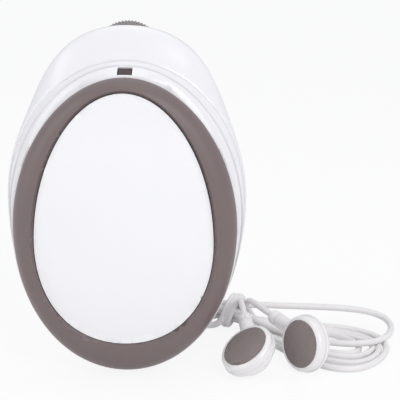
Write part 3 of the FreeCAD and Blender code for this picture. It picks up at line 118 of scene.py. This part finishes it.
LEFT_BRANCH = Branch(
    bud=LEFT_BUD, points=LEFT_BRANCH_POINTS, hole=-0.9, far_turn=(4.9, 0.6, 3.4), strands=(5, 7),
    right_loop=Loop(
        side=1, end=49.2, back=7.6, front=13.5, skew=-6.0, tip=1.1, lift=0.6, drop=0.4),
    left_loop=Loop(
        side=-1, end=31.0, back=6.6, front=6.6, skew=0.0, tip=4.8, lift=0.4, drop=0.4),
    way_out=[(-2.4, 2.2, 6.2), (1.5, 2.2, 6.9)])
RIGHT_BRANCH = Branch(
    bud=RIGHT_BUD, points=RIGHT_BRANCH_POINTS, hole=0.9, far_turn=(5.6, 0.4, 5.2), strands=(9, 10),
    right_loop=Loop(
        side=1, end=45.2, back=8.0, front=8.6, skew=-8.6, tip=1.1, lift=0.6, drop=0.4),
    left_loop=Loop(
        side=-1, end=28.0, back=6.5, front=6.5, skew=0.0, tip=6.6, lift=0.0, drop=0.0),
    way_out=[(-1.6, 0.4, 7.7), (2.4, 0.5, 7.8)])

# ------------------------------------------------------------------ stage
# name, place, size in metres, power in watts
LIGHTS = [("key_light", (0.45, -0.55, 0.50), 0.50, 2.5),
          ("fill_light", (-0.70, -0.25, 0.35), 0.60, 1.5),
          ("top_light", (0.05, 0.10, 0.75), 0.60, 0.7)]
LIGHT_TARGET = (0.0, 0.0, 0.05)
ROOM_COLOUR = (0.95, 0.96, 1.0, 1)
ROOM_STRENGTH = 0.64
FLOOR_SIZE = 6.0
FLOOR_COLOUR = (0.93, 0.93, 0.94, 1)
FLOOR_ROUGHNESS = 0.22
FLOOR_TO_CAMERA = 0.86      # share of plain white that the camera sees in the floor
FLOOR_TO_GLOSS = 0.8        # and that reflections and clear pieces see
WHITE = (1, 1, 1, 1)

CAMERA_TARGET = (0.02191, 0.0, 0.05052)
CAMERA_DISTANCE = 0.450
CAMERA_AZIMUTH = math.radians(1.6)
CAMERA_ELEVATION = math.radians(16.0)
CAMERA_LEAN = math.radians(0.55)
CAMERA_NEAR = 0.02
CAMERA_LENS = 132.03        # millimetres, for a sensor of SENSOR_WIDTH
SENSOR_WIDTH = 36.0

STEEL = (0.62, 0.61, 0.60)

# sockets of a Mix node that is set to colours
MIX_SHARE, MIX_FIRST, MIX_SECOND, MIX_RESULT = 0, 6, 7, 2


# ------------------------------------------------------------------ settings
class DopplerColours(bpy.types.PropertyGroup):
    """The colours of the visible mouldings."""

    housing: bpy.props.FloatVectorProperty(
        name="Housing", description="White of the shells and the door", subtype="COLOR",
        size=3, min=0.0, max=1.0, default=(0.885, 0.88, 0.895))
    plate: bpy.props.FloatVectorProperty(
        name="Front plate", description="White of the domed front plate", subtype="COLOR",
        size=3, min=0.0, max=1.0, default=(0.95, 0.945, 0.95))
    trim: bpy.props.FloatVectorProperty(
        name="Trim ring", description="Taupe of the ring round the plate", subtype="COLOR",
        size=3, min=0.0, max=1.0, default=(0.180, 0.137, 0.135))
    window: bpy.props.FloatVectorProperty(
        name="Indicator window", description="Dark red of the indicator window", subtype="COLOR",
        size=3, min=0.0, max=1.0, default=(0.045, 0.018, 0.022))
    wheel: bpy.props.FloatVectorProperty(
        name="Thumb wheel", description="Grey of the knurled wheel", subtype="COLOR",
        size=3, min=0.0, max=1.0, default=(0.27, 0.25, 0.25))
    cord: bpy.props.FloatVectorProperty(
        name="Cord", description="White of the cord and its fittings", subtype="COLOR",
        size=3, min=0.0, max=1.0, default=(0.885, 0.865, 0.86))
    pad: bpy.props.FloatVectorProperty(
        name="Earbud pad", description="Taupe of the earbud's cloth pad", subtype="COLOR",
        size=3, min=0.0, max=1.0, default=(0.245, 0.205, 0.200))


class DopplerSizes(bpy.types.PropertyGroup):
    """The sizes of what is made in the scene, over the CAD solids."""

    cord_diameter: bpy.props.FloatProperty(
        name="Cord diameter", description="Thickness of the main cord", unit="LENGTH",
        min=0.001, max=0.004, default=0.0021)
    branch_diameter: bpy.props.FloatProperty(
        name="Branch diameter", description="Thickness of the cord to each earbud",
        unit="LENGTH", min=0.001, max=0.004, default=0.0020)
    main_length: bpy.props.FloatProperty(
        name="Main cord length", description="From the plug to the splitter", unit="LENGTH",
        min=0.3, max=1.5, default=0.74)
    branch_length: bpy.props.FloatProperty(
        name="Branch cord length", description="From the splitter to each earbud",
        unit="LENGTH", min=0.1, max=1.0, default=0.267)


# ------------------------------------------------------------------ shader maths
class Signal:
    """A shader socket that adds a Math node for each operator used on it."""

    def __init__(self, work, socket):
        self.work = work
        self.socket = socket

    def maths(self, operation, first, second):
        return self.work.node("ShaderNodeMath", {"operation": operation}, {0: first, 1: second})

    def __add__(self, other):
        return self.maths("ADD", self, other)

    def __sub__(self, other):
        return self.maths("SUBTRACT", self, other)

    def __rsub__(self, other):
        return self.maths("SUBTRACT", other, self)

    def __mul__(self, other):
        return self.maths("MULTIPLY", self, other)

    __radd__ = __add__
    __rmul__ = __mul__


class NodeWork:
    """The node tree of a material or of the world, under construction."""

    def __init__(self, block):
        self.block = block
        self.block.use_nodes = True
        self.tree = self.block.node_tree
        self.tree.nodes.clear()

    def node(self, kind, settings=None, inputs=None, output=0):
        """Add any node: settings first, then the values or links of its sockets."""
        made = self.tree.nodes.new(kind)
        for name, value in (settings or {}).items():
            setattr(made, name, value)
        for key, value in (inputs or {}).items():
            if isinstance(value, Signal):
                self.tree.links.new(value.socket, made.inputs[key])
            else:
                made.inputs[key].default_value = value
        return Signal(self, made.outputs[output])

    def ray(self, kind):
        """1 for rays of one kind, such as Camera, and 0 for the rest."""
        return self.node("ShaderNodeLightPath", output="Is " + kind + " Ray")

    def close(self, shader, kind="ShaderNodeOutputMaterial"):
        """Link the finished shader to the tree's output."""
        made = self.tree.nodes.new(kind)
        self.tree.links.new(shader.socket, made.inputs["Surface"])
        return self.block


class Finish(NodeWork):
    """A node material under construction."""

    def __init__(self, name):
        super().__init__(bpy.data.materials.new(name))

    def noise(self, scale, detail=2.0):
        """Cloudy variation; the scale counts its waves in a metre."""
        where = self.node("ShaderNodeTexCoord", output="Object")
        return self.node("ShaderNodeTexNoise", None, {
            "Vector": where, "Scale": scale, "Detail": detail, "Roughness": 0.5})

    def cells(self, scale):
        """Round cells, dark in their middles."""
        where = self.node("ShaderNodeTexCoord", output="Object")
        return self.node("ShaderNodeTexVoronoi", None, {"Vector": where, "Scale": scale})

    def blend(self, share, first, second):
        """Mix two colours."""
        return self.node("ShaderNodeMix", {"data_type": "RGBA"}, {
            MIX_SHARE: share, MIX_FIRST: tuple(first) + (1.0,),
            MIX_SECOND: tuple(second) + (1.0,)}, MIX_RESULT)

    def bump(self, height, depth):
        """A relief of `depth` metres."""
        return self.node("ShaderNodeBump", None, {
            "Height": height, "Distance": depth, "Strength": 1.0})

    def principled(self, **sockets):
        """The finished material; a socket's name is written with underscores."""
        inputs = {name.replace("_", " "): value for name, value in sockets.items()}
        return self.close(self.node("ShaderNodeBsdfPrincipled", None, inputs))


# ------------------------------------------------------------------ materials
def shade(colour, share):
    """A darker or lighter tone of a colour."""
    return tuple(channel * share for channel in colour)


def moulded_gloss(name, colour, roughness=0.2, coat=0.4):
    """Glossy moulded plastic: a faint flow mottle and a very shallow orange peel."""
    finish = Finish(name)
    flow = finish.noise(scale=38.0, detail=3.0)
    peel = finish.noise(scale=420.0, detail=1.0)
    return finish.principled(
        Base_Color=finish.blend(flow, colour, shade(colour, 0.965)),
        Roughness=roughness + 0.06 * flow,
        Coat_Weight=coat,
        Coat_Roughness=0.12,
        Normal=finish.bump(peel, depth=0.000012))


def moulded_satin(name, colour, roughness=0.42, grain=1500.0, depth=0.00003):
    """Satin moulding with a fine spark-eroded grain."""
    finish = Finish(name)
    flow = finish.noise(scale=30.0)
    fine = finish.noise(scale=grain)
    mottle = 0.7 * flow + 0.3 * fine
    return finish.principled(
        Base_Color=finish.blend(mottle, shade(colour, 0.90), shade(colour, 1.10)),
        Roughness=roughness - 0.05 + 0.12 * fine,
        Normal=finish.bump(fine, depth))


def soft_cord(name, colour):
    """Soft jacket plastic: slightly uneven, with a low sheen."""
    finish = Finish(name)
    flow = finish.noise(scale=120.0)
    fine = finish.noise(scale=1800.0, detail=1.0)
    return finish.principled(
        Base_Color=finish.blend(flow, colour, shade(colour, 0.93)),
        Roughness=0.42 + 0.1 * flow,
        Normal=finish.bump(fine, depth=0.00001))


def speaker_pad(name, colour):
    """Fine speaker cloth: small round cells, lighter threads between them."""
    finish = Finish(name)
    cell = finish.cells(scale=2100.0)
    flow = finish.noise(scale=260.0, detail=3.0)
    mask = 0.55 * cell + 0.45 * flow
    return finish.principled(
        Base_Color=finish.blend(mask, shade(colour, 0.78), shade(colour, 1.22)),
        Roughness=0.72 + 0.15 * cell,
        Normal=finish.bump(cell, depth=0.00006))


def bare_metal(name, colour, roughness=0.32):
    """Plated or bare metal with a fine brushed grain."""
    finish = Finish(name)
    brushed = finish.noise(scale=900.0, detail=3.0)
    return finish.principled(
        Base_Color=finish.blend(brushed, colour, shade(colour, 0.82)),
        Metallic=1.0,
        Roughness=roughness + 0.12 * brushed,
        Normal=finish.bump(brushed, depth=0.000006))


def resist_board(name):
    """Green solder resist with the paler pattern of the copper under it."""
    finish = Finish(name)
    where = finish.node("ShaderNodeTexCoord", output="Object")
    tracks = finish.node("ShaderNodeTexBrick", None, {
        "Vector": where, "Scale": 260.0, "Mortar Size": 0.06,
        "Color1": (0.010, 0.115, 0.050, 1), "Color2": (0.014, 0.135, 0.058, 1),
        "Mortar": (0.030, 0.210, 0.090, 1)})
    fine = finish.noise(scale=700.0)
    return finish.principled(
        Base_Color=tracks,
        Roughness=0.28 + 0.12 * fine,
        Normal=finish.bump(fine, depth=0.00001))


# ------------------------------------------------------------------ mesh helpers
def only(obj):
    """Select one object alone and make it active."""
    bpy.ops.object.select_all(action="DESELECT")
    obj.select_set(True)
    bpy.context.view_layer.objects.active = obj


def to_metres(point):
    """A point that was given in millimetres."""
    return tuple(value * MM for value in point)


def dress(obj, material):
    """Give an object one material alone."""
    obj.data.materials.clear()
    obj.data.materials.append(material)


def dress_nodes(material, names):
    """Give CAD nodes that keep their own mesh a material."""
    for name in names:
        NODES[name].material_slots[0].material = material


def smooth_moulding(node, body, material, angle=32.0, weighted=False):
    """A copy of a CAD moulding with its facets merged and shaded as one skin.

    Edges sharper than `angle`, in degrees, stay sharp. When it is `weighted`, its larger
    faces stay flat and the small ones between them round.
    """
    source = NODES[node]
    skin = source.copy()
    skin.data = source.data.copy()
    skin.name = node + "_skin"
    skin.parent = None
    for key in list(skin.keys()):       # its marks as a CAD node
        del skin[key]
    bpy.context.scene.collection.objects.link(skin)
    only(skin)
    bpy.ops.object.mode_set(mode="EDIT")
    bpy.ops.mesh.select_all(action="SELECT")
    bpy.ops.mesh.remove_doubles(threshold=MERGE_DISTANCE)
    bpy.ops.object.mode_set(mode="OBJECT")
    bpy.ops.object.shade_smooth_by_angle(angle=math.radians(angle))
    if weighted:
        bpy.ops.object.modifier_add(type="WEIGHTED_NORMAL")
        weighting = skin.modifiers[-1]
        weighting.keep_sharp = True
        weighting.mode = "FACE_AREA_WITH_ANGLE"
        bpy.ops.object.modifier_apply(modifier=weighting.name)
    dress(skin, material)
    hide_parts(node)
    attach(skin, body)


# ------------------------------------------------------------------ routes of the cords
def hank_place(along, across, height):
    """A place in the hank, as a point in the monitor's frame."""
    return (HANK_WAIST[0] + along * math.cos(HANK_ANGLE) - across * math.sin(HANK_ANGLE),
            HANK_WAIST[1] + along * math.sin(HANK_ANGLE) + across * math.cos(HANK_ANGLE),
            height)


def hank_places(places):
    """Several places in the hank, as points in the monitor's frame."""
    return [hank_place(*place) for place in places]


def strand_in_waist(number):
    """Where one strand of the bundle passes through the wrap: across and above."""
    reach = STRAND_PITCH * math.sqrt(number + STRAND_START)
    turn = STRAND_TURN * number
    return reach * math.cos(turn), WAIST_HEIGHT + reach * math.sin(turn)


def through_waist(strand, towards):
    """Two points of a strand inside the wrap; `towards` is -1 for right to left."""
    across, height = strand
    return hank_places([(-WAIST_HALF * towards, across, height),
                        (WAIST_HALF * towards, across, height)])


def hank_turn(loop, begin, finish):
    """One loop of the hank, out from the waist along its back and home along its front.

    `begin` and `finish` are its places in the waist, across and above.
    """
    route = []
    for step in range(1, LOOP_POINTS):
        share = step / LOOP_POINTS
        swell = math.sin(math.pi * share)
        away = min(1.0, loop.end * swell / WAIST_REACH)
        if share < 0.5:
            (across, height), rise, width = begin, loop.lift, loop.back * swell
        else:
            (across, height), rise, width = finish, loop.drop, loop.front * swell ** FRONT_FULLNESS
        bow = math.sin(2 * math.pi * share) * width
        lie = loop.tip + rise * (1 - swell ** 2)
        route.append(hank_place(
            loop.side * loop.end * swell,
            bow + loop.skew * swell ** 2 + across * (1 - away),
            lie * away + height * (1 - away)))
    return route


def wrap_turns():
    """The plug's end of the cord, wound round the waist of the hank on a slant."""
    route = []
    count = round(WRAP_TURNS * WRAP_POINTS)
    for step in range(count + 1):
        turn = 2 * math.pi * step / WRAP_POINTS - math.pi / 2
        route.append(hank_place(
            WRAP_WIDTH * (step / count - 0.5) + WRAP_SLANT * math.cos(turn),
            WRAP_RADIUS * math.sin(turn),
            WAIST_HEIGHT + WRAP_RADIUS * math.cos(turn)))
    return route


def far_turn(radius, middle, height):
    """Half a turn round the far end of the left lobe, from its front to its back."""
    turns = [math.pi * step / FAR_TURN_POINTS for step in range(FAR_TURN_POINTS + 1)]
    return [hank_place(FAR_TURN_PLACE - radius * math.sin(turn), middle - radius * math.cos(turn),
                       height) for turn in turns]


def main_route():
    """From the plug round the left end, through the wrap and the loops, to the splitter."""
    x, y, z = PLUG_RELIEF_END
    route = [(x, y, z), (x, y + LEAD_FIRST_RUN, z)] + LEAD_POINTS
    route += hank_places(WAY_TO_WRAP) + wrap_turns() + hank_places(WAY_FROM_WRAP)
    begin = FIRST_LOOP_START
    for loop, number in MAIN_LOOPS:
        finish = strand_in_waist(number)
        route += hank_turn(loop, begin, finish) + through_waist(finish, -loop.side)
        begin = finish
    return route + hank_places(WAY_TO_SPLITTER)


def branch_start(branch):
    """Where a branch leaves the splitter."""
    return hank_place(SPLITTER[0] - SPLITTER_HALF, SPLITTER[1] + branch.hole, SPLITTER[2])


def bud_point(bud, along):
    """A point on the axis of a bud's stem, in millimetres."""
    centre, facing, stem = (Vector(part) for part in bud)
    facing.normalize()
    sideways = facing.cross(stem).normalized()
    outwards = sideways.cross(facing)
    return tuple(centre + outwards * along - facing * STEM_DEPTH)


def branch_route(branch):
    """From the splitter round both lobes of the hank to the stem of one bud."""
    start = SPLITTER[0] - SPLITTER_HALF
    radius, middle, height = branch.far_turn
    first, second = (strand_in_waist(number) for number in branch.strands)
    # out of the splitter and down to the far turn
    route = [branch_start(branch)] + hank_places([
        (start - 4.5, SPLITTER[1] + 1.4 * branch.hole, SPLITTER[2] - 0.9),
        (start - 8.5, middle - radius + 0.9, 0.5 * height + 3.4)])
    route += far_turn(radius, middle, height)
    # home along the back of the left lobe
    route += hank_places([(-28.0, middle + radius, height + 0.4), (-16.0, 3.4, height + 0.9)])
    route += through_waist(first, 1)
    route += hank_turn(branch.right_loop, first, second)
    route += through_waist(second, -1)
    route += hank_turn(branch.left_loop, second, branch.way_out[0][1:])
    route += hank_places(branch.way_out) + branch.points[::-1]
    return route + [bud_point(branch.bud, RELIEF_END + BRANCH_FIRST_RUN),
                    bud_point(branch.bud, RELIEF_END)]


def lay_cord(name, points, diameter, material):
    """A smooth round cord on one open spline whose control points are the route."""
    curve = bpy.data.curves.new(name, "CURVE")
    curve.dimensions = "3D"
    curve.resolution_u = 6
    curve.bevel_depth = diameter / 2
    curve.bevel_resolution = 4
    curve.use_fill_caps = True
    spline = curve.splines.new("NURBS")
    spline.points.add(len(points) - 1)
    for control, point in zip(spline.points, points):
        control.co = (*to_metres(point), 1.0)
    spline.order_u = 3
    spline.use_endpoint_u = True
    cord = bpy.data.objects.new(name, curve)
    bpy.context.scene.collection.objects.link(cord)
    curve.materials.append(material)
    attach(cord, "earphones")
    return cord


# ------------------------------------------------------------------ operators
class DOPPLER_OT_housing(bpy.types.Operator):
    """Finish the shells, the front plate, the ring, the window, the door and the probe's face"""

    bl_idname = "doppler.housing"
    bl_label = "Housing"

    def execute(self, context):
        colours = context.scene.doppler_colours
        shell = moulded_gloss("white_shell", colours.housing)
        plate = moulded_gloss("white_plate", colours.plate, roughness=0.12, coat=0.6)
        trim = moulded_satin("taupe_trim", colours.trim)
        window = moulded_gloss("dark_window", colours.window, roughness=0.3, coat=0.1)
        smooth_moulding("front_shell", "housing", shell, angle=20.0, weighted=True)
        smooth_moulding("rear_shell", "housing", shell)
        smooth_moulding("battery_door", "door", shell, angle=12.0)
        smooth_moulding("front_plate", "housing", plate, angle=9.0)
        smooth_moulding("trim_ring", "housing", trim, angle=20.0)
        smooth_moulding("probe_lens", "housing", trim)
        dress_nodes(window, ["led_window"])
        dress_nodes(shell, ["probe_cup"])
        return {"FINISHED"}


class DOPPLER_OT_wheel(bpy.types.Operator):
    """Finish the knurled thumb wheel with its shaft and screw"""

    bl_idname = "doppler.wheel"
    bl_label = "Thumb wheel"

    def execute(self, context):
        grey = moulded_satin("grey_wheel", context.scene.doppler_colours.wheel, roughness=0.4)
        smooth_moulding("volume_wheel", "volume", grey, angle=20.0)
        dress_nodes(bare_metal("wheel_steel", STEEL), ["volume_shaft", "wheel_screw"])
        return {"FINISHED"}


class DOPPLER_OT_works(bpy.types.Operator):
    """Finish the boards, the probe's inside, the battery and the screws"""

    bl_idname = "doppler.works"
    bl_label = "Inner works"

    def execute(self, context):
        dress_nodes(resist_board("green_board"), ["circuit_board", "volume_board", "jack_board"])
        dress_nodes(bare_metal("screw_steel", STEEL),
                    ["housing_screws", "board_screws", "inner_screws"])
        dress_nodes(bare_metal("bright_can", (0.78, 0.78, 0.80), roughness=0.25),
                    ["capacitors", "crystal_can", "volume_pot"])
        dress_nodes(moulded_satin("black_moulding", (0.022, 0.022, 0.024), roughness=0.5),
                    ["processor_chip", "amplifier_chip", "inductors", "probe_clamp",
                     "battery_snap", "earphone_jack_left", "earphone_jack_right",
                     "plug_insulators"])
        dress_nodes(moulded_satin("seal_rubber", (0.03, 0.03, 0.032), roughness=0.75),
                    ["probe_gasket"])
        dress_nodes(moulded_satin("piezo_ceramic", (0.62, 0.58, 0.47), roughness=0.55),
                    ["probe_crystals"])
        dress_nodes(moulded_satin("backing_foam", (0.10, 0.10, 0.11), roughness=0.9,
                                  grain=900.0, depth=0.0001), ["probe_backing"])
        dress_nodes(moulded_gloss("tinted_epoxy", (0.42, 0.02, 0.02), roughness=0.15), ["led"])
        dress_nodes(moulded_satin("battery_jacket", (0.035, 0.036, 0.042), roughness=0.35),
                    ["battery"])
        dress_nodes(bare_metal("nickel_contact", (0.72, 0.69, 0.62), roughness=0.22),
                    ["battery_terminals", "plug_contacts"])
        return {"FINISHED"}


class DOPPLER_OT_earbuds(bpy.types.Operator):
    """Finish both earbuds, the plug and the splitter"""

    bl_idname = "doppler.earbuds"
    bl_label = "Earbuds and plug"

    def execute(self, context):
        colours = context.scene.doppler_colours
        white = moulded_gloss("white_earbud", colours.cord, roughness=0.18, coat=0.5)
        soft = soft_cord("white_relief", colours.cord)
        pad = speaker_pad("taupe_pad", colours.pad)
        steel = bare_metal("driver_steel", (0.55, 0.55, 0.55))
        for side in ("left", "right"):
            smooth_moulding(side + "_bud_shell", "earphones", white)
            smooth_moulding(side + "_bud_bezel", "earphones", white)
            smooth_moulding(side + "_bud_pad", "earphones", pad)
            smooth_moulding(side + "_bud_relief", "earphones", soft)
            dress_nodes(steel, [side + "_bud_driver"])
        for node in ("plug_head", "plug_strain_relief", "cord_splitter"):
            smooth_moulding(node, "earphones", soft)
        return {"FINISHED"}


class DOPPLER_OT_cords(bpy.types.Operator):
    """Lay the main cord and both branches in their tied hank"""

    bl_idname = "doppler.cords"
    bl_label = "Cords"

    def execute(self, context):
        sizes = context.scene.doppler_sizes
        jacket = soft_cord("cord_jacket", context.scene.doppler_colours.cord)
        main = lay_cord("main_cord", main_route(), sizes.cord_diameter, jacket)
        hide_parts("lead_cord", "cord_hank_right", "cord_hank_left", "hank_wrap")
        to_metres(PLUG_RELIEF_END)
        for side, branch in (("left", LEFT_BRANCH), ("right", RIGHT_BRANCH)):
            cord = lay_cord(side + "_branch", branch_route(branch), sizes.branch_diameter, jacket)
            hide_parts(side + "_branch_cord")
            to_metres(branch_start(branch))
        return {"FINISHED"}


class DOPPLER_OT_stage(bpy.types.Operator):
    """Add the pale floor, the soft lights and the camera"""

    bl_idname = "doppler.stage"
    bl_label = "Stage"

    def execute(self, context):
        self.floor()
        self.world(context.scene)
        for light in LIGHTS:
            self.light(context.scene, *light)
        self.camera(context.scene)
        context.scene.view_settings.view_transform = "Standard"
        return {"FINISHED"}

    def floor(self):
        """Pale to the camera and in reflections, and a plain surface to the lights."""
        bpy.ops.object.select_all(action="DESELECT")
        bpy.ops.mesh.primitive_plane_add(size=FLOOR_SIZE, location=(0, 0, 0))
        floor = bpy.context.active_object
        floor.name = "floor"
        finish = Finish("pale_floor")
        seen = (FLOOR_TO_CAMERA * finish.ray("Camera") + FLOOR_TO_GLOSS * finish.ray("Glossy")
                + FLOOR_TO_GLOSS * finish.ray("Transmission"))
        pale = finish.node("ShaderNodeBsdfPrincipled", None, {
            "Base Color": FLOOR_COLOUR, "Roughness": FLOOR_ROUGHNESS})
        glow = finish.node("ShaderNodeEmission", None, {"Color": WHITE, "Strength": 1.0})
        dress(floor, finish.close(finish.node("ShaderNodeMixShader", None, {
            0: seen, 1: pale, 2: glow})))

    def world(self, scene):
        """White to the camera, and a soft pale room to everything else."""
        studio = NodeWork(bpy.data.worlds.new("studio"))
        room = studio.node("ShaderNodeBackground", None, {
            "Color": ROOM_COLOUR, "Strength": ROOM_STRENGTH})
        white = studio.node("ShaderNodeBackground", None, {"Color": WHITE, "Strength": 1.0})
        mixed = studio.node("ShaderNodeMixShader", None, {
            0: studio.ray("Camera"), 1: room, 2: white})
        scene.world = studio.close(mixed, "ShaderNodeOutputWorld")

    def light(self, scene, name, place, size, power):
        """A square soft light that faces the monitor."""
        lamp = bpy.data.lights.new(name, "AREA")
        lamp.size = size
        lamp.energy = power
        light = bpy.data.objects.new(name, lamp)
        scene.collection.objects.link(light)
        light.location = place
        aim = Vector(LIGHT_TARGET) - Vector(place)
        light.rotation_euler = aim.to_track_quat("-Z", "Y").to_euler()

    def camera(self, scene):
        """Look at the monitor from slightly right and above, with a slight lean."""
        away = Vector((math.sin(CAMERA_AZIMUTH) * math.cos(CAMERA_ELEVATION),
                       -math.cos(CAMERA_AZIMUTH) * math.cos(CAMERA_ELEVATION),
                       math.sin(CAMERA_ELEVATION)))
        lens = bpy.data.cameras.new("view")
        lens.sensor_width = SENSOR_WIDTH
        lens.lens = CAMERA_LENS
        lens.clip_start = CAMERA_NEAR
        camera = bpy.data.objects.new("view", lens)
        scene.collection.objects.link(camera)
        camera.location = Vector(CAMERA_TARGET) + away * CAMERA_DISTANCE
        aim = (-away).to_track_quat("-Z", "Y").to_matrix().to_4x4()
        camera.rotation_euler = (aim @ Matrix.Rotation(CAMERA_LEAN, 4, "Z")).to_euler()
        scene.camera = camera


class DOPPLER_PT_panel(bpy.types.Panel):
    """The sizes, colours and pieces of the monitor"""

    bl_idname = "DOPPLER_PT_panel"
    bl_label = "Fetal Doppler Monitor"
    bl_space_type = "VIEW_3D"
    bl_region_type = "UI"
    bl_category = "Doppler"

    def draw(self, context):
        for group in (context.scene.doppler_colours, context.scene.doppler_sizes):
            for name in group.__annotations__:
                self.layout.prop(group, name)
        for operator in PIECES:
            self.layout.operator(operator.bl_idname)


PIECES = (DOPPLER_OT_housing, DOPPLER_OT_wheel, DOPPLER_OT_works, DOPPLER_OT_earbuds,
          DOPPLER_OT_cords, DOPPLER_OT_stage)
CLASSES = (DopplerColours, DopplerSizes) + PIECES + (DOPPLER_PT_panel,)


def register():
    for kind in CLASSES:
        bpy.utils.register_class(kind)
    bpy.types.Scene.doppler_colours = bpy.props.PointerProperty(type=DopplerColours)
    bpy.types.Scene.doppler_sizes = bpy.props.PointerProperty(type=DopplerSizes)


def unregister():
    del bpy.types.Scene.doppler_sizes
    del bpy.types.Scene.doppler_colours
    for kind in reversed(CLASSES):
        bpy.utils.unregister_class(kind)


def main():
    """Build every piece and the stage."""
    register()
    bpy.ops.doppler.housing()
    bpy.ops.doppler.wheel()
    bpy.ops.doppler.works()
    bpy.ops.doppler.earbuds()
    bpy.ops.doppler.cords()
    bpy.ops.doppler.stage()
    bpy.context.view_layer.update()
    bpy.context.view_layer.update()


if __name__ == "__main__":
    main()
